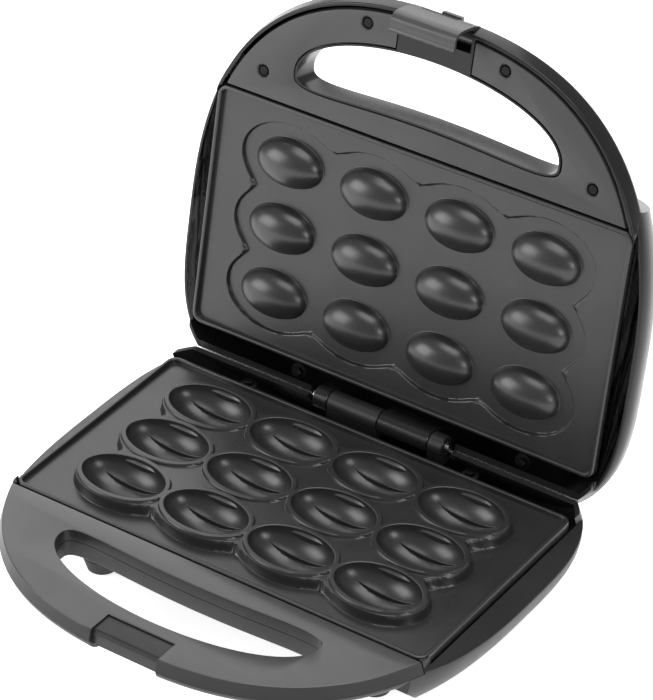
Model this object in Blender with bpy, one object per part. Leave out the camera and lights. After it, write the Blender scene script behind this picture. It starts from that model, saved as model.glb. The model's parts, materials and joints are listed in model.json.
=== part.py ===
"""Walnut cookie maker, open as it stands on a table.

Units are metres, +Z is up, +X runs along the hinge to the right and the handles point to -Y.
Every piece is first drawn closed, with the parting plane at z = 0 and the plates centred on
x = y = 0. The lid's pieces then hang on an empty on the hinge axis, which holds them open.
"""
import bpy
import bmesh
from math import asin, cos, exp, pi, radians, sin, sqrt
from mathutils import Matrix, Vector

# Opening and general fits
open_angle = radians(102)
stop_margin = radians(1)
contact_gap = 0.0003
running_gap = 0.0004
overrun = 0.005

# Plates
plate_side_margin = 0.0181
plate_end_margin = 0.0105
plate_corner = 0.005
plate_floor = 0.0025
lip_height = 0.0025
lip_width = 0.0022

# Cups of the lower plate and bumps of the upper one
columns = 4
rows = 3
cup_half_x = 0.0206
cup_half_y = 0.0132
cup_depth = 0.012
cup_wall = 0.0025
rim_end_width = 0.0022
rim_side_width = 0.0025
rim_overlap = 0.0009
rim_gap = 0.0006
rim_rise = 0.0036
island_rise = 0.0024
island_reach = 0.0012
fin_offset = 0.0057
fin_half_length = 0.015
fin_thickness = 0.001
fin_height = 0.0022
bump_half_x = 0.0173
bump_half_y = 0.0113
bump_height = 0.009
recess_level = 0.0042
recess_back = 0.0025
recess_reach = 0.0012
recess_wall = 0.0013
lobe_softness = 6

# Housings: plan of the widest line, and the domes below it
flank_width = 0.0105
body_centre_y = 0.005
handle_length = 0.0640
rear_length = 0.0315
front_power = 2.5
rear_power = 3.8
rim_draft = 0.0015
widest_depth = 0.0060
lower_depth = 0.0345
upper_depth = 0.0365
side_draw = 0.030
rear_draw = 0.010
handle_depth = 0.0145
handle_draw = 0.016
tray_inset = 0.00012
housing_wall = 0.0024
tub_front_length = 0.0075
tub_front_slope = 0.008
base_front_slope = 0.025
tub_front_wall = 0.0035
flank_rim_drop = 0.0050
flank_edge_drop = 0.0086
flank_thickness = 0.0030
upper_flank_drop = 0.0030
plate_side_gap = 0.0006
vent_rib = 0.0016
vent_rib_depth = 0.020

# Handle opening, its walls and its covers
opening_side_bar = 0.0400
opening_rear_bar = 0.0140
opening_rear_sag = 0.005
opening_front_bar = 0.0205
opening_corner_length = 0.0040
opening_power = 3.5
opening_wall = 0.0022
cover_thickness = 0.0025
cover_skirt = 0.0060
cover_seam = 0.0034
opening_seam = 0.0016
cover_rear_gap = 0.0012
cover_gap_half = 0.0195
cap_wall = 0.0018

# Cover screws
screw_inner_x = 0.0352
screw_inner_inset = 0.0133
screw_outer_side_inset = 0.0225
screw_outer_setback = 0.0127
screw_head_radius = 0.0024
screw_head_height = 0.0014
screw_shank_radius = 0.0011
screw_length = 0.0090
screw_sink = 0.0006
boss_radius = 0.0032

# Hinge
hinge_setback = 0.0115
barrel_radius = 0.0052
barrel_clearance = 0.0006
barrel_half_length = 0.0345
knuckle_split = 0.0270
knuckle_gap = 0.0004
pin_radius = 0.0018
pin_overhang = 0.0016
pin_head_radius = 0.0028
pin_head_length = 0.0010
arm_depth = 0.0085

# Latch
latch_half_width = 0.0165
latch_thickness = 0.0018
latch_pin_inset = 0.0060
latch_pin_z = 0.0060
latch_pin_radius = 0.0015
latch_eye_radius = 0.0032
latch_recess_half = 0.0175
latch_proud = 0.0021
latch_lip_drop = 0.0115
latch_lip_reach = 0.0045
latch_top = 0.0084
notch_half_width = 0.0172
notch_length = 0.0143
notch_drop = 0.0012
ledge_setback = 0.0030
ledge_drop = 0.0085

# Feet and cord bush
foot_side_inset = 0.0475
foot_front_side_inset = 0.0348
foot_front_inset = 0.0165
foot_rear_setback = 0.0015
foot_top_radius = 0.0092
foot_bottom_radius = 0.0070
foot_height = 0.0075
foot_peg_radius = 0.0030
foot_peg_length = 0.0024
foot_boss_radius = 0.0110
foot_boss_height = 0.0125
bush_x = -0.0450
bush_floor_height = 0.0052
bush_half_width = 0.0060
bush_half_height = 0.0024
bush_pad_margin = 0.0026
bush_pad_inset = 0.0025
bush_pad_length = 0.0070
bush_collar = 0.0014
bush_collar_length = 0.0030
bush_tail = 0.0060
bush_hole_half_width = 0.0034
bush_hole_half_height = 0.0014

# Plate fixings
lug_places = (-0.0500, 0.0700)
lug_half_width = 0.0055
lug_length = 0.0100
lug_thickness = 0.0024
lug_drop = 0.0030
lug_sink = 0.0004
lug_screw_back = 0.0070
post_radius = 0.0038
tongue_side_inset = 0.0435
tongue_half_width = 0.0040
tongue_length = 0.0030
tongue_drop = 0.0032

# Heaters, reflector pans and the parts behind them
heater_radius = 0.0032
lower_heater_inset = 0.0060
upper_heater_side_inset = 0.0275
upper_heater_end_inset = 0.0230
heater_corner = 0.0100
heater_end_x = 0.0180
heater_bend = 0.0040
heater_tail = 0.0130
pan_side_inset = 0.0050
pan_end_inset = 0.0015
pan_corner = 0.0060
pan_floor_drop = 0.0170
pan_sheet = 0.0008
pan_hole_radius = 0.0042
pillar_radius = 0.0040
pillar_side_inset = 0.0185
pillar_end_inset = 0.0210
thermostat_radius = 0.0080
thermostat_height = 0.0065
thermostat_tab_half_x = 0.0120
thermostat_tab_half_y = 0.0035
thermostat_tab_height = 0.0008
fuse_radius = 0.0020
fuse_half_length = 0.0090
fuse_y = 0.0200
block_half_x = 0.0160
block_half_y = 0.0055
block_height = 0.0100
block_setback = 0.0095
block_slot = 0.0020

# Lamps on the lid
lamp_x = 0.0100
lamp_inset = 0.0145
lens_radius = 0.0040
lens_flange_radius = 0.0052
lens_flange_height = 0.0010
lens_rise = 0.0012
lamp_board_half_x = 0.0170
lamp_board_half_y = 0.0070
lamp_board_height = 0.0016
lamp_board_back = 0.0115
lamp_peg_radius = 0.0015
lamp_bulb_radius = 0.0030
lamp_bulb_height = 0.0060

smooth_angle = radians(32)

# Worked out from the sizes above
rear_slope = open_angle / 2 + stop_margin
stand_height = lower_depth + foot_height + contact_gap
underside = lip_height + plate_floor
parting_gap = contact_gap / 2
rim_half_x = cup_half_x + rim_end_width
rim_half_y = cup_half_y + rim_side_width
cup_pitch_x = 2 * rim_half_x - rim_overlap
cup_pitch_y = 2 * rim_half_y + rim_gap
plate_half_x = columns * cup_pitch_x / 2 + plate_side_margin
plate_half_y = rows * cup_pitch_y / 2 + plate_end_margin
body_half_width = plate_half_x + flank_width
body_front = plate_half_y + handle_length
body_rear = plate_half_y + rear_length
handle_reach = body_front + body_centre_y
rear_reach = body_rear - body_centre_y
tub_front = plate_half_y + tub_front_length
tub_clear_front = tub_front - tub_front_wall
cover_rear = plate_half_y + cover_rear_gap
opening_half_width = plate_half_x - opening_side_bar
opening_rear = plate_half_y + opening_rear_bar
opening_front = body_front - opening_front_bar
opening_corner = opening_rear + opening_corner_length
screw_inner_y = body_front - screw_inner_inset
screw_outer_x = plate_half_x - screw_outer_side_inset
screw_outer_y = plate_half_y + screw_outer_setback
hinge_y = plate_half_y + hinge_setback
latch_pin_y = body_front - latch_pin_inset
latch_outer_y = body_front + latch_proud
notch_rear = body_front - notch_length
ledge_front = body_front - ledge_setback
foot_rear_x = plate_half_x - foot_side_inset
foot_front_x = plate_half_x - foot_front_side_inset
foot_front_y = plate_half_y - foot_front_inset
foot_rear_y = plate_half_y + foot_rear_setback
bush_drop = lower_depth - bush_floor_height
bush_pad_back = body_rear - bush_pad_inset
lug_hole_y = plate_half_y + lug_screw_back
tongue_x = plate_half_x - tongue_side_inset
pan_half_x = plate_half_x - pan_side_inset
pan_half_y = plate_half_y - pan_end_inset
pillar_x = pan_half_x - pillar_side_inset
pillar_y = pan_half_y - pillar_end_inset
lower_heater_x = pan_half_x - lower_heater_inset
lower_heater_y = pan_half_y - lower_heater_inset
upper_heater_x = pan_half_x - upper_heater_side_inset
upper_heater_y = pan_half_y - upper_heater_end_inset
block_y = plate_half_y + block_setback
lamp_y = plate_half_y - lamp_inset
lamp_board_top = upper_depth - lamp_board_back
screw_places = [
    (side * x, -y)
    for side in (-1, 1)
    for x, y in ((screw_inner_x, screw_inner_y), (screw_outer_x, screw_outer_y))
]
foot_places = [
    (side * x, y)
    for x, y in ((foot_front_x, -foot_front_y), (foot_rear_x, foot_rear_y))
    for side in (-1, 1)
]
cup_places = [
    ((column - (columns - 1) / 2) * cup_pitch_x, (row - (rows - 1) / 2) * cup_pitch_y)
    for row in range(rows)
    for column in range(columns)
]


def material(name, colour, roughness, metallic=0.0):
    made = bpy.data.materials.new(name)
    made.use_nodes = True
    shader = made.node_tree.nodes["Principled BSDF"]
    shader.inputs["Base Color"].default_value = (*colour, 1.0)
    shader.inputs["Roughness"].default_value = roughness
    shader.inputs["Metallic"].default_value = metallic
    return made


def clear_scene():
    for old in list(bpy.data.objects):
        bpy.data.objects.remove(old, do_unlink=True)


def add_object(name, mesh_data):
    made = bpy.data.objects.new(name, mesh_data)
    bpy.context.scene.collection.objects.link(made)
    return made


def finish_mesh(name, shape):
    bmesh.ops.recalc_face_normals(shape, faces=shape.faces)
    data = bpy.data.meshes.new(name)
    shape.to_mesh(data)
    shape.free()
    return add_object(name, data)


def loft(name, rings):
    """Closed solid through rings of equal count; a ring of one point closes to a tip."""
    shape = bmesh.new()
    levels = [[shape.verts.new(point) for point in ring] for ring in rings]
    for below, above in zip(levels, levels[1:]):
        wide = max(len(below), len(above))
        for k in range(wide):
            following = (k + 1) % wide
            if len(above) == 1:
                shape.faces.new((below[k], below[following], above[0]))
            elif len(below) == 1:
                shape.faces.new((below[0], above[following], above[k]))
            else:
                shape.faces.new((below[k], below[following], above[following], above[k]))
    for end in (levels[0], levels[-1]):
        if len(end) > 2:
            shape.faces.new(end)
    return finish_mesh(name, shape)


def at_height(outline, z):
    return [(x, y, z) for x, y in outline]


def prism(name, outline, low, high):
    return loft(name, [at_height(outline, low), at_height(outline, high)])


def box(name, low, high):
    outline = [(low[0], low[1]), (high[0], low[1]), (high[0], high[1]), (low[0], high[1])]
    return prism(name, outline, low[2], high[2])


def side_prism(name, profile, low_x, high_x):
    """Profile of (y, z) points, drawn out along X."""
    ends = [[(x, y, z) for y, z in profile] for x in (low_x, high_x)]
    return loft(name, ends)


def ellipse(centre_x, centre_y, half_x, half_y, count):
    turn = 2 * pi / count
    return [
        (centre_x + half_x * cos(turn * k), centre_y + half_y * sin(turn * k))
        for k in range(count)
    ]


def cylinder(name, x, y, low, high, radius, count=20):
    return prism(name, ellipse(x, y, radius, radius, count), low, high)


def cone(name, x, y, low, high, low_radius, high_radius, count=20):
    rings = [
        at_height(ellipse(x, y, low_radius, low_radius, count), low),
        at_height(ellipse(x, y, high_radius, high_radius, count), high),
    ]
    return loft(name, rings)


def rod(name, low_x, high_x, y, z, radius, count=20):
    circle = ellipse(y, z, radius, radius, count)
    return side_prism(name, circle, low_x, high_x)


def rounded_rectangle(half_x, half_y, radius, steps=4):
    points = []
    for corner in range(4):
        start = corner * pi / 2
        side_x = 1 if corner in (0, 3) else -1
        side_y = 1 if corner in (0, 1) else -1
        for k in range(steps + 1):
            angle = start + k * pi / 2 / steps
            x = side_x * (half_x - radius) + radius * cos(angle)
            y = side_y * (half_y - radius) + radius * sin(angle)
            points.append((x, y))
    return points


def power_of(value, exponent):
    return abs(value) ** exponent * (1 if value >= 0 else -1)


def body_plan(side_inset, front_inset, rear_inset, count):
    """Plan of a half: a soft arc round the handle and a squarer back."""
    points = []
    for k in range(count):
        angle = 2 * pi * k / count
        at_back = sin(angle) >= 0
        exponent = 2 / (rear_power if at_back else front_power)
        reach = rear_reach - rear_inset if at_back else handle_reach - front_inset
        x = (body_half_width - side_inset) * power_of(cos(angle), exponent)
        y = body_centre_y + reach * power_of(sin(angle), exponent)
        points.append((x, y))
    return points


def dome(name, depth, side_pull, back_pull, inset, floor, sign, top, steps=4, count=52):
    """Half's solid from the height top, over the parting plane, in to its domed floor."""
    rim_inset = inset + rim_draft
    rings = [at_height(body_plan(rim_inset, rim_inset, rim_inset, count), -top)]
    height = depth - widest_depth
    last_angle = asin((height - floor) / height)
    for k in range(steps + 1):
        angle = k * last_angle / steps
        pulled = 1 - cos(angle)
        front_inset = inset + side_pull * pulled
        plan = body_plan(front_inset, front_inset, inset + back_pull * pulled, count)
        rings.append(at_height(plan, widest_depth + height * sin(angle)))
    return loft(name, [[flip(point, sign) for point in ring] for ring in rings])


def boolean(target, tool, operation):
    """Apply one Boolean and leave out the tool."""
    change = target.modifiers.new("shape", "BOOLEAN")
    change.operation = operation
    change.object = tool
    bpy.context.view_layer.update()
    graph = bpy.context.evaluated_depsgraph_get()
    result = bpy.data.meshes.new_from_object(target.evaluated_get(graph))
    target.modifiers.clear()
    old = target.data
    target.data = result
    bpy.data.meshes.remove(old)
    bpy.data.objects.remove(tool, do_unlink=True)


def cut(target, *tools):
    for tool in tools:
        boolean(target, tool, "DIFFERENCE")


def join(target, *tools):
    for tool in tools:
        boolean(target, tool, "UNION")


def keep(target, *tools):
    for tool in tools:
        boolean(target, tool, "INTERSECT")


def flip(point, sign):
    return (point[0], point[1], sign * point[2])


def half_box(name, low, high, sign):
    """Box given by its heights over the parting plane of the lid, mirrored for the base."""
    heights = sorted((sign * low[2], sign * high[2]))
    return box(name, (low[0], low[1], heights[0]), (high[0], high[1], heights[1]))


def half_cylinder(name, x, y, low, high, radius, sign, count=20):
    heights = sorted((sign * low, sign * high))
    return cylinder(name, x, y, heights[0], heights[1], radius, count)


def opening_plan(grow, count=32):
    """Finger opening: a flat bow towards the plate and a round one towards the front."""
    points = []
    half = opening_half_width + grow
    squared = 2 / opening_power
    for k in range(count):
        angle = 2 * pi * k / count
        if sin(angle) >= 0:
            x = half * power_of(cos(angle), squared)
            rear_line = opening_rear - grow - opening_rear_sag * (x / half) ** 2
            y = opening_corner - (opening_corner - rear_line) * power_of(sin(angle), squared)
        else:
            x = half * cos(angle)
            y = opening_corner - (opening_front + grow - opening_corner) * sin(angle)
        points.append((x, -y))
    return points


def cut_behind_slope(target, sign, back_off):
    """Trim a half along its sloping back, which the other half meets when the lid is open."""
    reach = rear_reach
    start = hinge_y - back_off / sin(rear_slope)
    profile = [
        (start, overrun),
        (start, 0),
        (start + reach * cos(rear_slope), -reach * sin(rear_slope)),
        (start + 2 * reach, -reach * sin(rear_slope)),
        (start + 2 * reach, overrun),
    ]
    flipped = [(y, -sign * z) for y, z in profile]
    cut(target, side_prism("slope", flipped, -body_half_width - overrun, body_half_width + overrun))


def cut_flanks(target, sign, inner_drop, outer_drop):
    """Trim the rims beside the plate down to a slope that falls outwards."""
    inner_x = plate_half_x + plate_side_gap
    outer_x = body_half_width + overrun
    fall = (outer_drop - inner_drop) / (body_half_width - inner_x)
    far_drop = inner_drop + fall * (outer_x - inner_x)
    front = -cover_rear
    back = rear_reach + body_centre_y + overrun
    for side in (-1, 1):
        rings = []
        for y in (front, back):
            corners = (
                (inner_x, overrun),
                (inner_x, -inner_drop),
                (outer_x, -far_drop),
                (outer_x, overrun),
            )
            rings.append([(side * x, y, -sign * z) for x, z in corners])
        cut(target, loft("flank", rings))


def cut_front_wall(target, sign, face, depth):
    """Trim a half's tub or its space along the front wall, which leans back with depth."""
    wide = body_half_width + overrun
    front = handle_reach + overrun
    lowest = depth + overrun
    upright = handle_depth / 2 if sign > 0 else handle_depth
    slope = tub_front_slope if sign > 0 else base_front_slope
    profile = [
        (-front, -overrun * 2),
        (-face, -overrun * 2),
        (-face, upright),
        (-face + slope, lowest),
        (-front, lowest),
    ]
    flipped = [(y, sign * z) for y, z in profile]
    cut(target, side_prism("front", flipped, -wide, wide))


def hollow_tub(sign, depth):
    """Space inside the half behind its handle."""
    space = dome(
        "space", depth, side_draw, rear_draw, housing_wall, housing_wall, sign, overrun, 3, 40
    )
    cut_front_wall(space, sign, tub_clear_front, depth)
    cut_behind_slope(space, sign, contact_gap + housing_wall)
    return space


def plate_pocket(sign):
    """Space of the plate's corners, which come close to the rim."""
    outline = rounded_rectangle(
        plate_half_x + plate_side_gap, plate_half_y + plate_side_gap, plate_corner
    )
    ends = sorted((-sign * overrun, sign * (underside + contact_gap)))
    return prism("plate_pocket", outline, *ends)


def hollow_handle(sign, inset):
    """Two pockets in the handle, either side of the latch and clear of the finger opening."""
    pocket = dome(
        "pocket", handle_depth, handle_draw, handle_draw, inset, housing_wall, sign, overrun, 3, 40
    )
    wide = body_half_width + overrun
    pocket_rear = opening_rear + opening_wall
    deep = handle_depth + overrun
    low = (-wide, -pocket_rear, -overrun * 2)
    cut(pocket, half_box("rear", low, (wide, rear_reach + overrun * 2, deep), sign))
    cut(pocket, prism("opening", opening_plan(opening_wall), -deep, deep))
    block_half = latch_recess_half + housing_wall
    low = (-block_half, -handle_reach - overrun, -overrun * 2)
    cut(pocket, half_box("latch_block", low, (block_half, 0, deep), sign))
    return pocket


def make_shell(name, sign, depth):
    """Tub and handle tray as one solid, with its sloping back."""
    shell = dome("shell", depth, side_draw, rear_draw, 0, 0, sign, -parting_gap)
    cut_front_wall(shell, sign, tub_front, depth)
    pull = handle_draw
    tray = dome("tray", handle_depth, pull, pull, tray_inset, 0, sign, -parting_gap)
    low = (-body_half_width - overrun, -cover_rear, -overrun)
    high = (body_half_width + overrun, handle_reach + overrun, depth + overrun)
    cut(tray, half_box("rear", low, high, sign))
    join(shell, tray)
    cut_behind_slope(shell, sign, contact_gap)
    shell.name = name
    return shell


def knuckle_spans(sign):
    """The lid carries the left end and the right middle, and the base the other two."""
    half_gap = knuckle_gap / 2
    end = barrel_half_length
    if sign > 0:
        return ((-end, -knuckle_split - half_gap), (half_gap, knuckle_split - half_gap))
    return ((-knuckle_split + half_gap, -half_gap), (knuckle_split + half_gap, end))


def add_hinge_knuckles(shell, sign):
    """Clear a round way for the barrel, add this half's knuckles on their arms and bore them."""
    way = barrel_half_length + pin_overhang + pin_head_length + barrel_clearance * 2
    cleared = barrel_radius + barrel_clearance
    cut(shell, rod("way", -way, way, hinge_y, 0, cleared))
    for low_x, high_x in knuckle_spans(sign):
        arm_low = (low_x, hinge_y - barrel_radius + barrel_clearance, contact_gap)
        arm_high = (high_x, hinge_y + 2 * barrel_radius, arm_depth)
        arm = half_box("arm", arm_low, arm_high, sign)
        cut_behind_slope(arm, sign, contact_gap * 2)
        join(arm, rod("knuckle", low_x, high_x, hinge_y, 0, barrel_radius))
        join(shell, arm)
    cut(shell, rod("bore", -way, way, hinge_y, 0, pin_radius + running_gap, 16))


def add_inner_posts(shell, sign, depth):
    """Pillars for the reflector pan and posts for the plate's rear lugs."""
    root = depth - housing_wall / 2
    for x in (-pillar_x, pillar_x):
        for y in (-pillar_y, pillar_y):
            top = pan_floor_drop + contact_gap
            join(shell, half_cylinder("pillar", x, y, top, root, pillar_radius, sign, 12))
    for x in lug_places:
        top = lug_drop + lug_thickness + contact_gap
        post = half_cylinder("post", sign * x, lug_hole_y, top, root, post_radius, sign, 12)
        join(shell, post)
        bore = screw_shank_radius + running_gap
        low = top - overrun
        high = lug_drop + screw_length + overrun
        cut(shell, half_cylinder("pilot", sign * x, lug_hole_y, low, high, bore, sign, 12))


def make_lower_housing():
    shell = make_shell("lower_housing", -1, lower_depth)
    cut_flanks(shell, -1, flank_rim_drop, flank_edge_drop)
    space = hollow_tub(-1, lower_depth)
    cut_flanks(space, -1, flank_rim_drop + flank_thickness, flank_edge_drop + flank_thickness)
    cut(shell, space, plate_pocket(-1))
    wide = body_half_width + overrun
    front = handle_reach + overrun
    cover_low = cover_skirt + contact_gap
    low = (-wide, -front, -overrun)
    cut(shell, half_box("cover_space", low, (wide, -cover_rear + cover_rear_gap / 2, cover_low), -1))
    cut(shell, hollow_handle(-1, housing_wall))
    deep = lower_depth + overrun
    cut(shell, prism("opening", opening_plan(0), -deep, deep))
    low = (-notch_half_width, -front, ledge_drop)
    high = (notch_half_width, -notch_rear - notch_drop, deep)
    cut(shell, half_box("under_ledge", low, high, -1))
    low = (-notch_half_width, -front, 0)
    cut(shell, half_box("ledge_front", low, (notch_half_width, -ledge_front, deep), -1))
    ledge_half = notch_half_width - contact_gap
    low = (-ledge_half, -ledge_front, notch_drop)
    join(shell, half_box("ledge", low, (ledge_half, -notch_rear - contact_gap, ledge_drop), -1))
    for x, y in screw_places:
        low = cover_low
        high = handle_depth - housing_wall / 2
        join(shell, half_cylinder("boss", x, y, low, high, boss_radius, -1, 12))
        cut_screw_seat(shell, x, y, -handle_depth, 1)
    add_inner_posts(shell, -1, lower_depth)
    add_hinge_knuckles(shell, -1)
    for x, y in foot_places:
        if y < 0:
            top = -lower_depth + foot_boss_height
            boss = cone("foot_boss", x, y, -lower_depth, top, foot_top_radius, foot_boss_radius, 24)
            join(shell, boss)
        radius = foot_peg_radius + running_gap
        low = lower_depth - housing_wall - overrun
        high = lower_depth + overrun
        cut(shell, half_cylinder("peg_hole", x, y, low, high, radius, -1, 12))
    add_bush_pad(shell)
    return shell


def bush_ring(half_width, half_height, y, count=20):
    """Oval ring of the cord bush, upright at the depth y."""
    flat = ellipse(bush_x, -bush_drop, half_width, half_height, count)
    return [(x, y, z) for x, z in flat]


def add_bush_pad(shell):
    pad_x = bush_half_width + bush_pad_margin
    pad_z = bush_half_height + bush_pad_margin / 2
    low = (bush_x - pad_x, bush_pad_back - bush_pad_length, -bush_drop - pad_z)
    high = (bush_x + pad_x, bush_pad_back, -bush_drop + pad_z)
    join(shell, box("pad", low, high))
    wide = bush_half_width + contact_gap
    tall = bush_half_height + contact_gap
    ends = (bush_pad_back - bush_pad_length - overrun, bush_pad_back + overrun)
    cut(shell, loft("bush_hole", [bush_ring(wide, tall, y) for y in ends]))


def make_cord_bush():
    """Oval bush with a collar each side of the wall, tapering to its mouth, and a flat bore."""
    inner = bush_pad_back - bush_pad_length - contact_gap
    outer = bush_pad_back + contact_gap
    wide = bush_half_width
    tall = bush_half_height
    sections = (
        (wide + bush_collar, tall, inner - bush_collar_length / 2),
        (wide + bush_collar, tall, inner),
        (wide, tall, inner),
        (wide, tall, outer),
        (wide + bush_collar, tall + bush_collar / 2, outer),
        (wide + bush_collar, tall + bush_collar / 2, outer + bush_collar_length / 2),
        (wide, tall, outer + bush_collar_length),
        (wide - bush_collar, tall - bush_collar / 2, outer + bush_tail),
    )
    bush = loft("cord_bush", [bush_ring(*section) for section in sections])
    ends = (inner - overrun, outer + bush_tail + overrun)
    cut(bush, loft("bore", [bush_ring(bush_hole_half_width, bush_hole_half_height, y) for y in ends]))
    return bush


def cut_screw_seat(target, x, y, face, way):
    """Counterbore and hole for a screw driven from the height face, way 1 upwards, -1 down."""
    seat = screw_sink + screw_head_height
    heads = sorted((face - way * overrun, face + way * (seat + contact_gap)))
    radius = screw_head_radius + contact_gap
    cut(target, cylinder("seat", x, y, heads[0], heads[1], radius, 16))
    shanks = sorted((face, face + way * (seat + screw_length + overrun / 2)))
    bore = screw_shank_radius + running_gap
    cut(target, cylinder("shank_way", x, y, shanks[0], shanks[1], bore, 12))


def make_screw(name, x, y, face, way):
    """Pan head and plain shank."""
    top = face + way * screw_sink
    under = top + way * screw_head_height
    tip = under + way * screw_length
    levels = (
        (screw_head_radius * 0.85, top),
        (screw_head_radius, top + way * screw_head_height / 3),
        (screw_head_radius, under),
        (screw_shank_radius, under),
        (screw_shank_radius, tip),
    )
    return loft(name, [at_height(ellipse(x, y, radius, radius, 10), z) for radius, z in levels])


def make_upper_housing():
    shell = make_shell("upper_housing", 1, upper_depth)
    cut_flanks(shell, 1, upper_flank_drop, upper_flank_drop)
    cut(shell, hollow_tub(1, upper_depth), plate_pocket(1))
    deep = upper_depth + overrun
    cover_low = cover_thickness + contact_gap
    recess = cover_slab("recess", 1, -overrun, cover_low, cover_seam - contact_gap, contact_gap)
    middle_half = cover_gap_half - contact_gap
    low = (-middle_half, -handle_reach - overrun, parting_gap + contact_gap)
    high = (middle_half, -opening_corner, cover_low + overrun)
    cut(recess, half_box("middle", low, high, 1))
    cut(shell, recess)
    cut(shell, hollow_handle(1, housing_wall))
    cut(shell, prism("opening", opening_plan(0), -deep, deep))
    for x, y in screw_places:
        low = cover_low
        high = handle_depth - housing_wall / 2
        join(shell, half_cylinder("boss", x, y, low, high, boss_radius, 1, 12))
        hole_low = cover_low - overrun
        hole_high = screw_sink + screw_head_height + screw_length + contact_gap
        bore = screw_shank_radius + running_gap
        cut(shell, half_cylinder("pilot", x, y, hole_low, hole_high, bore, 1, 12))
    cut_latch_recess(shell)
    add_inner_posts(shell, 1, upper_depth)
    add_hinge_knuckles(shell, 1)
    add_vent_ribs(shell)
    add_lamp_seats(shell)
    return shell


def cut_latch_recess(shell):
    recess_rear = latch_pin_y - latch_eye_radius - latch_thickness
    ceiling = latch_pin_z + latch_eye_radius + latch_thickness
    low = (-latch_recess_half, -handle_reach - overrun, -overrun)
    cut(shell, half_box("latch_space", low, (latch_recess_half, -recess_rear, ceiling), 1))
    reach = latch_recess_half + housing_wall + overrun / 4
    pin_hole = latch_pin_radius + running_gap
    cut(shell, rod("latch_pin_hole", -reach, reach, -latch_pin_y, latch_pin_z, pin_hole, 12))


def add_vent_ribs(shell):
    for side in (-1, 1):
        ends = sorted((side * (plate_half_x + plate_side_gap), side * (body_half_width - 2 * housing_wall)))
        low = (ends[0], -vent_rib / 2, upper_flank_drop + vent_rib)
        high = (ends[1], vent_rib / 2, vent_rib_depth)
        join(shell, box("rib", low, high))


def add_lamp_seats(shell):
    for side in (-1, 1):
        radius = lens_radius + contact_gap
        low = upper_depth - housing_wall - overrun
        high = upper_depth + overrun
        cut(shell, half_cylinder("lens_hole", side * lamp_x, -lamp_y, low, high, radius, 1))
        peg_x = side * (lamp_board_half_x - lamp_peg_radius * 2)
        low = lamp_board_top + contact_gap
        root = upper_depth - housing_wall / 2
        peg_y = -lamp_y + lamp_board_half_y - lamp_peg_radius * 2
        join(shell, half_cylinder("peg", peg_x, peg_y, low, root, lamp_peg_radius, 1, 12))


def cover_slab(name, sign, top, low, edge_inset, opening_grow):
    """Slab of the handle's plan between two heights, with the finger opening through it."""
    slab = dome(name, upper_depth, side_draw, rear_draw, edge_inset, 0, sign, -top)
    wide = body_half_width + overrun
    front = handle_reach + overrun
    deep = upper_depth + overrun
    cut(slab, half_box("below", (-wide, -front, low), (wide, front, deep), sign))
    cut(slab, half_box("rear", (-wide, -cover_rear, -deep), (wide, front, deep), sign))
    cut(slab, prism("opening", opening_plan(opening_seam - opening_grow), -deep, deep))
    return slab


def make_upper_cover():
    cover = cover_slab("upper_handle_cover", 1, parting_gap, cover_thickness, cover_seam, 0)
    low = (-cover_gap_half, -handle_reach - overrun, -overrun)
    high = (cover_gap_half, -opening_front + opening_seam, cover_thickness + overrun)
    cut(cover, half_box("latch_gap", low, high, 1))
    for x, y in screw_places:
        cut_screw_seat(cover, x, y, parting_gap, 1)
    return cover


def make_lower_cover():
    """Cap of the lower handle: flat top, skirt round its edge and round the opening."""
    cover = cover_slab("lower_handle_cover", -1, parting_gap, cover_skirt, 0, opening_seam)
    pocket = dome("pocket", lower_depth, side_draw, rear_draw, cap_wall, 0, -1, -cover_thickness)
    deep = lower_depth + overrun
    cut(pocket, prism("opening", opening_plan(cap_wall), -deep, deep))
    edge = notch_half_width + cap_wall
    low = (-edge, -handle_reach - overrun, -overrun)
    cut(pocket, half_box("notch_walls", low, (edge, -notch_rear + cap_wall, deep), -1))
    cut(cover, pocket)
    low = (-notch_half_width, -handle_reach - overrun, -overrun)
    cut(cover, half_box("notch", low, (notch_half_width, -notch_rear, deep), -1))
    for x, y in screw_places:
        low = cover_thickness / 2
        join(cover, half_cylinder("boss", x, y, low, cover_skirt, boss_radius, -1, 12))
        tip = handle_depth - screw_sink - screw_head_height - screw_length - contact_gap
        bore = screw_shank_radius + running_gap
        cut(cover, half_cylinder("pilot", x, y, tip, cover_skirt + overrun, bore, -1, 12))
    limit = dome("limit", lower_depth, side_draw, rear_draw, 0, 0, -1, -parting_gap)
    keep(cover, limit)
    return cover


def lobe_sum(x, y, reach):
    """Over 1 inside the soft union of the cups' ovals, and under 1 outside it."""
    total = 0
    for cup_x, cup_y in cup_places:
        across = (x - cup_x) / (rim_half_x + reach)
        along = (y - cup_y) / (rim_half_y + reach)
        total += exp(-lobe_softness * (sqrt(across ** 2 + along ** 2) - 1))
    return total


def lobed_outline(reach, count=72):
    """Scalloped outline round all the cups, found along rays from the middle."""
    points = []
    for k in range(count):
        angle = 2 * pi * k / count
        outer = 2 * plate_half_x
        step = plate_half_x / 50
        while lobe_sum(outer * cos(angle), outer * sin(angle), reach) < 1:
            outer -= step
        inner = outer
        outer += step
        for _ in range(24):
            middle = (inner + outer) / 2
            if lobe_sum(middle * cos(angle), middle * sin(angle), reach) < 1:
                outer = middle
            else:
                inner = middle
        points.append((inner * cos(angle), inner * sin(angle)))
    return points


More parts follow.
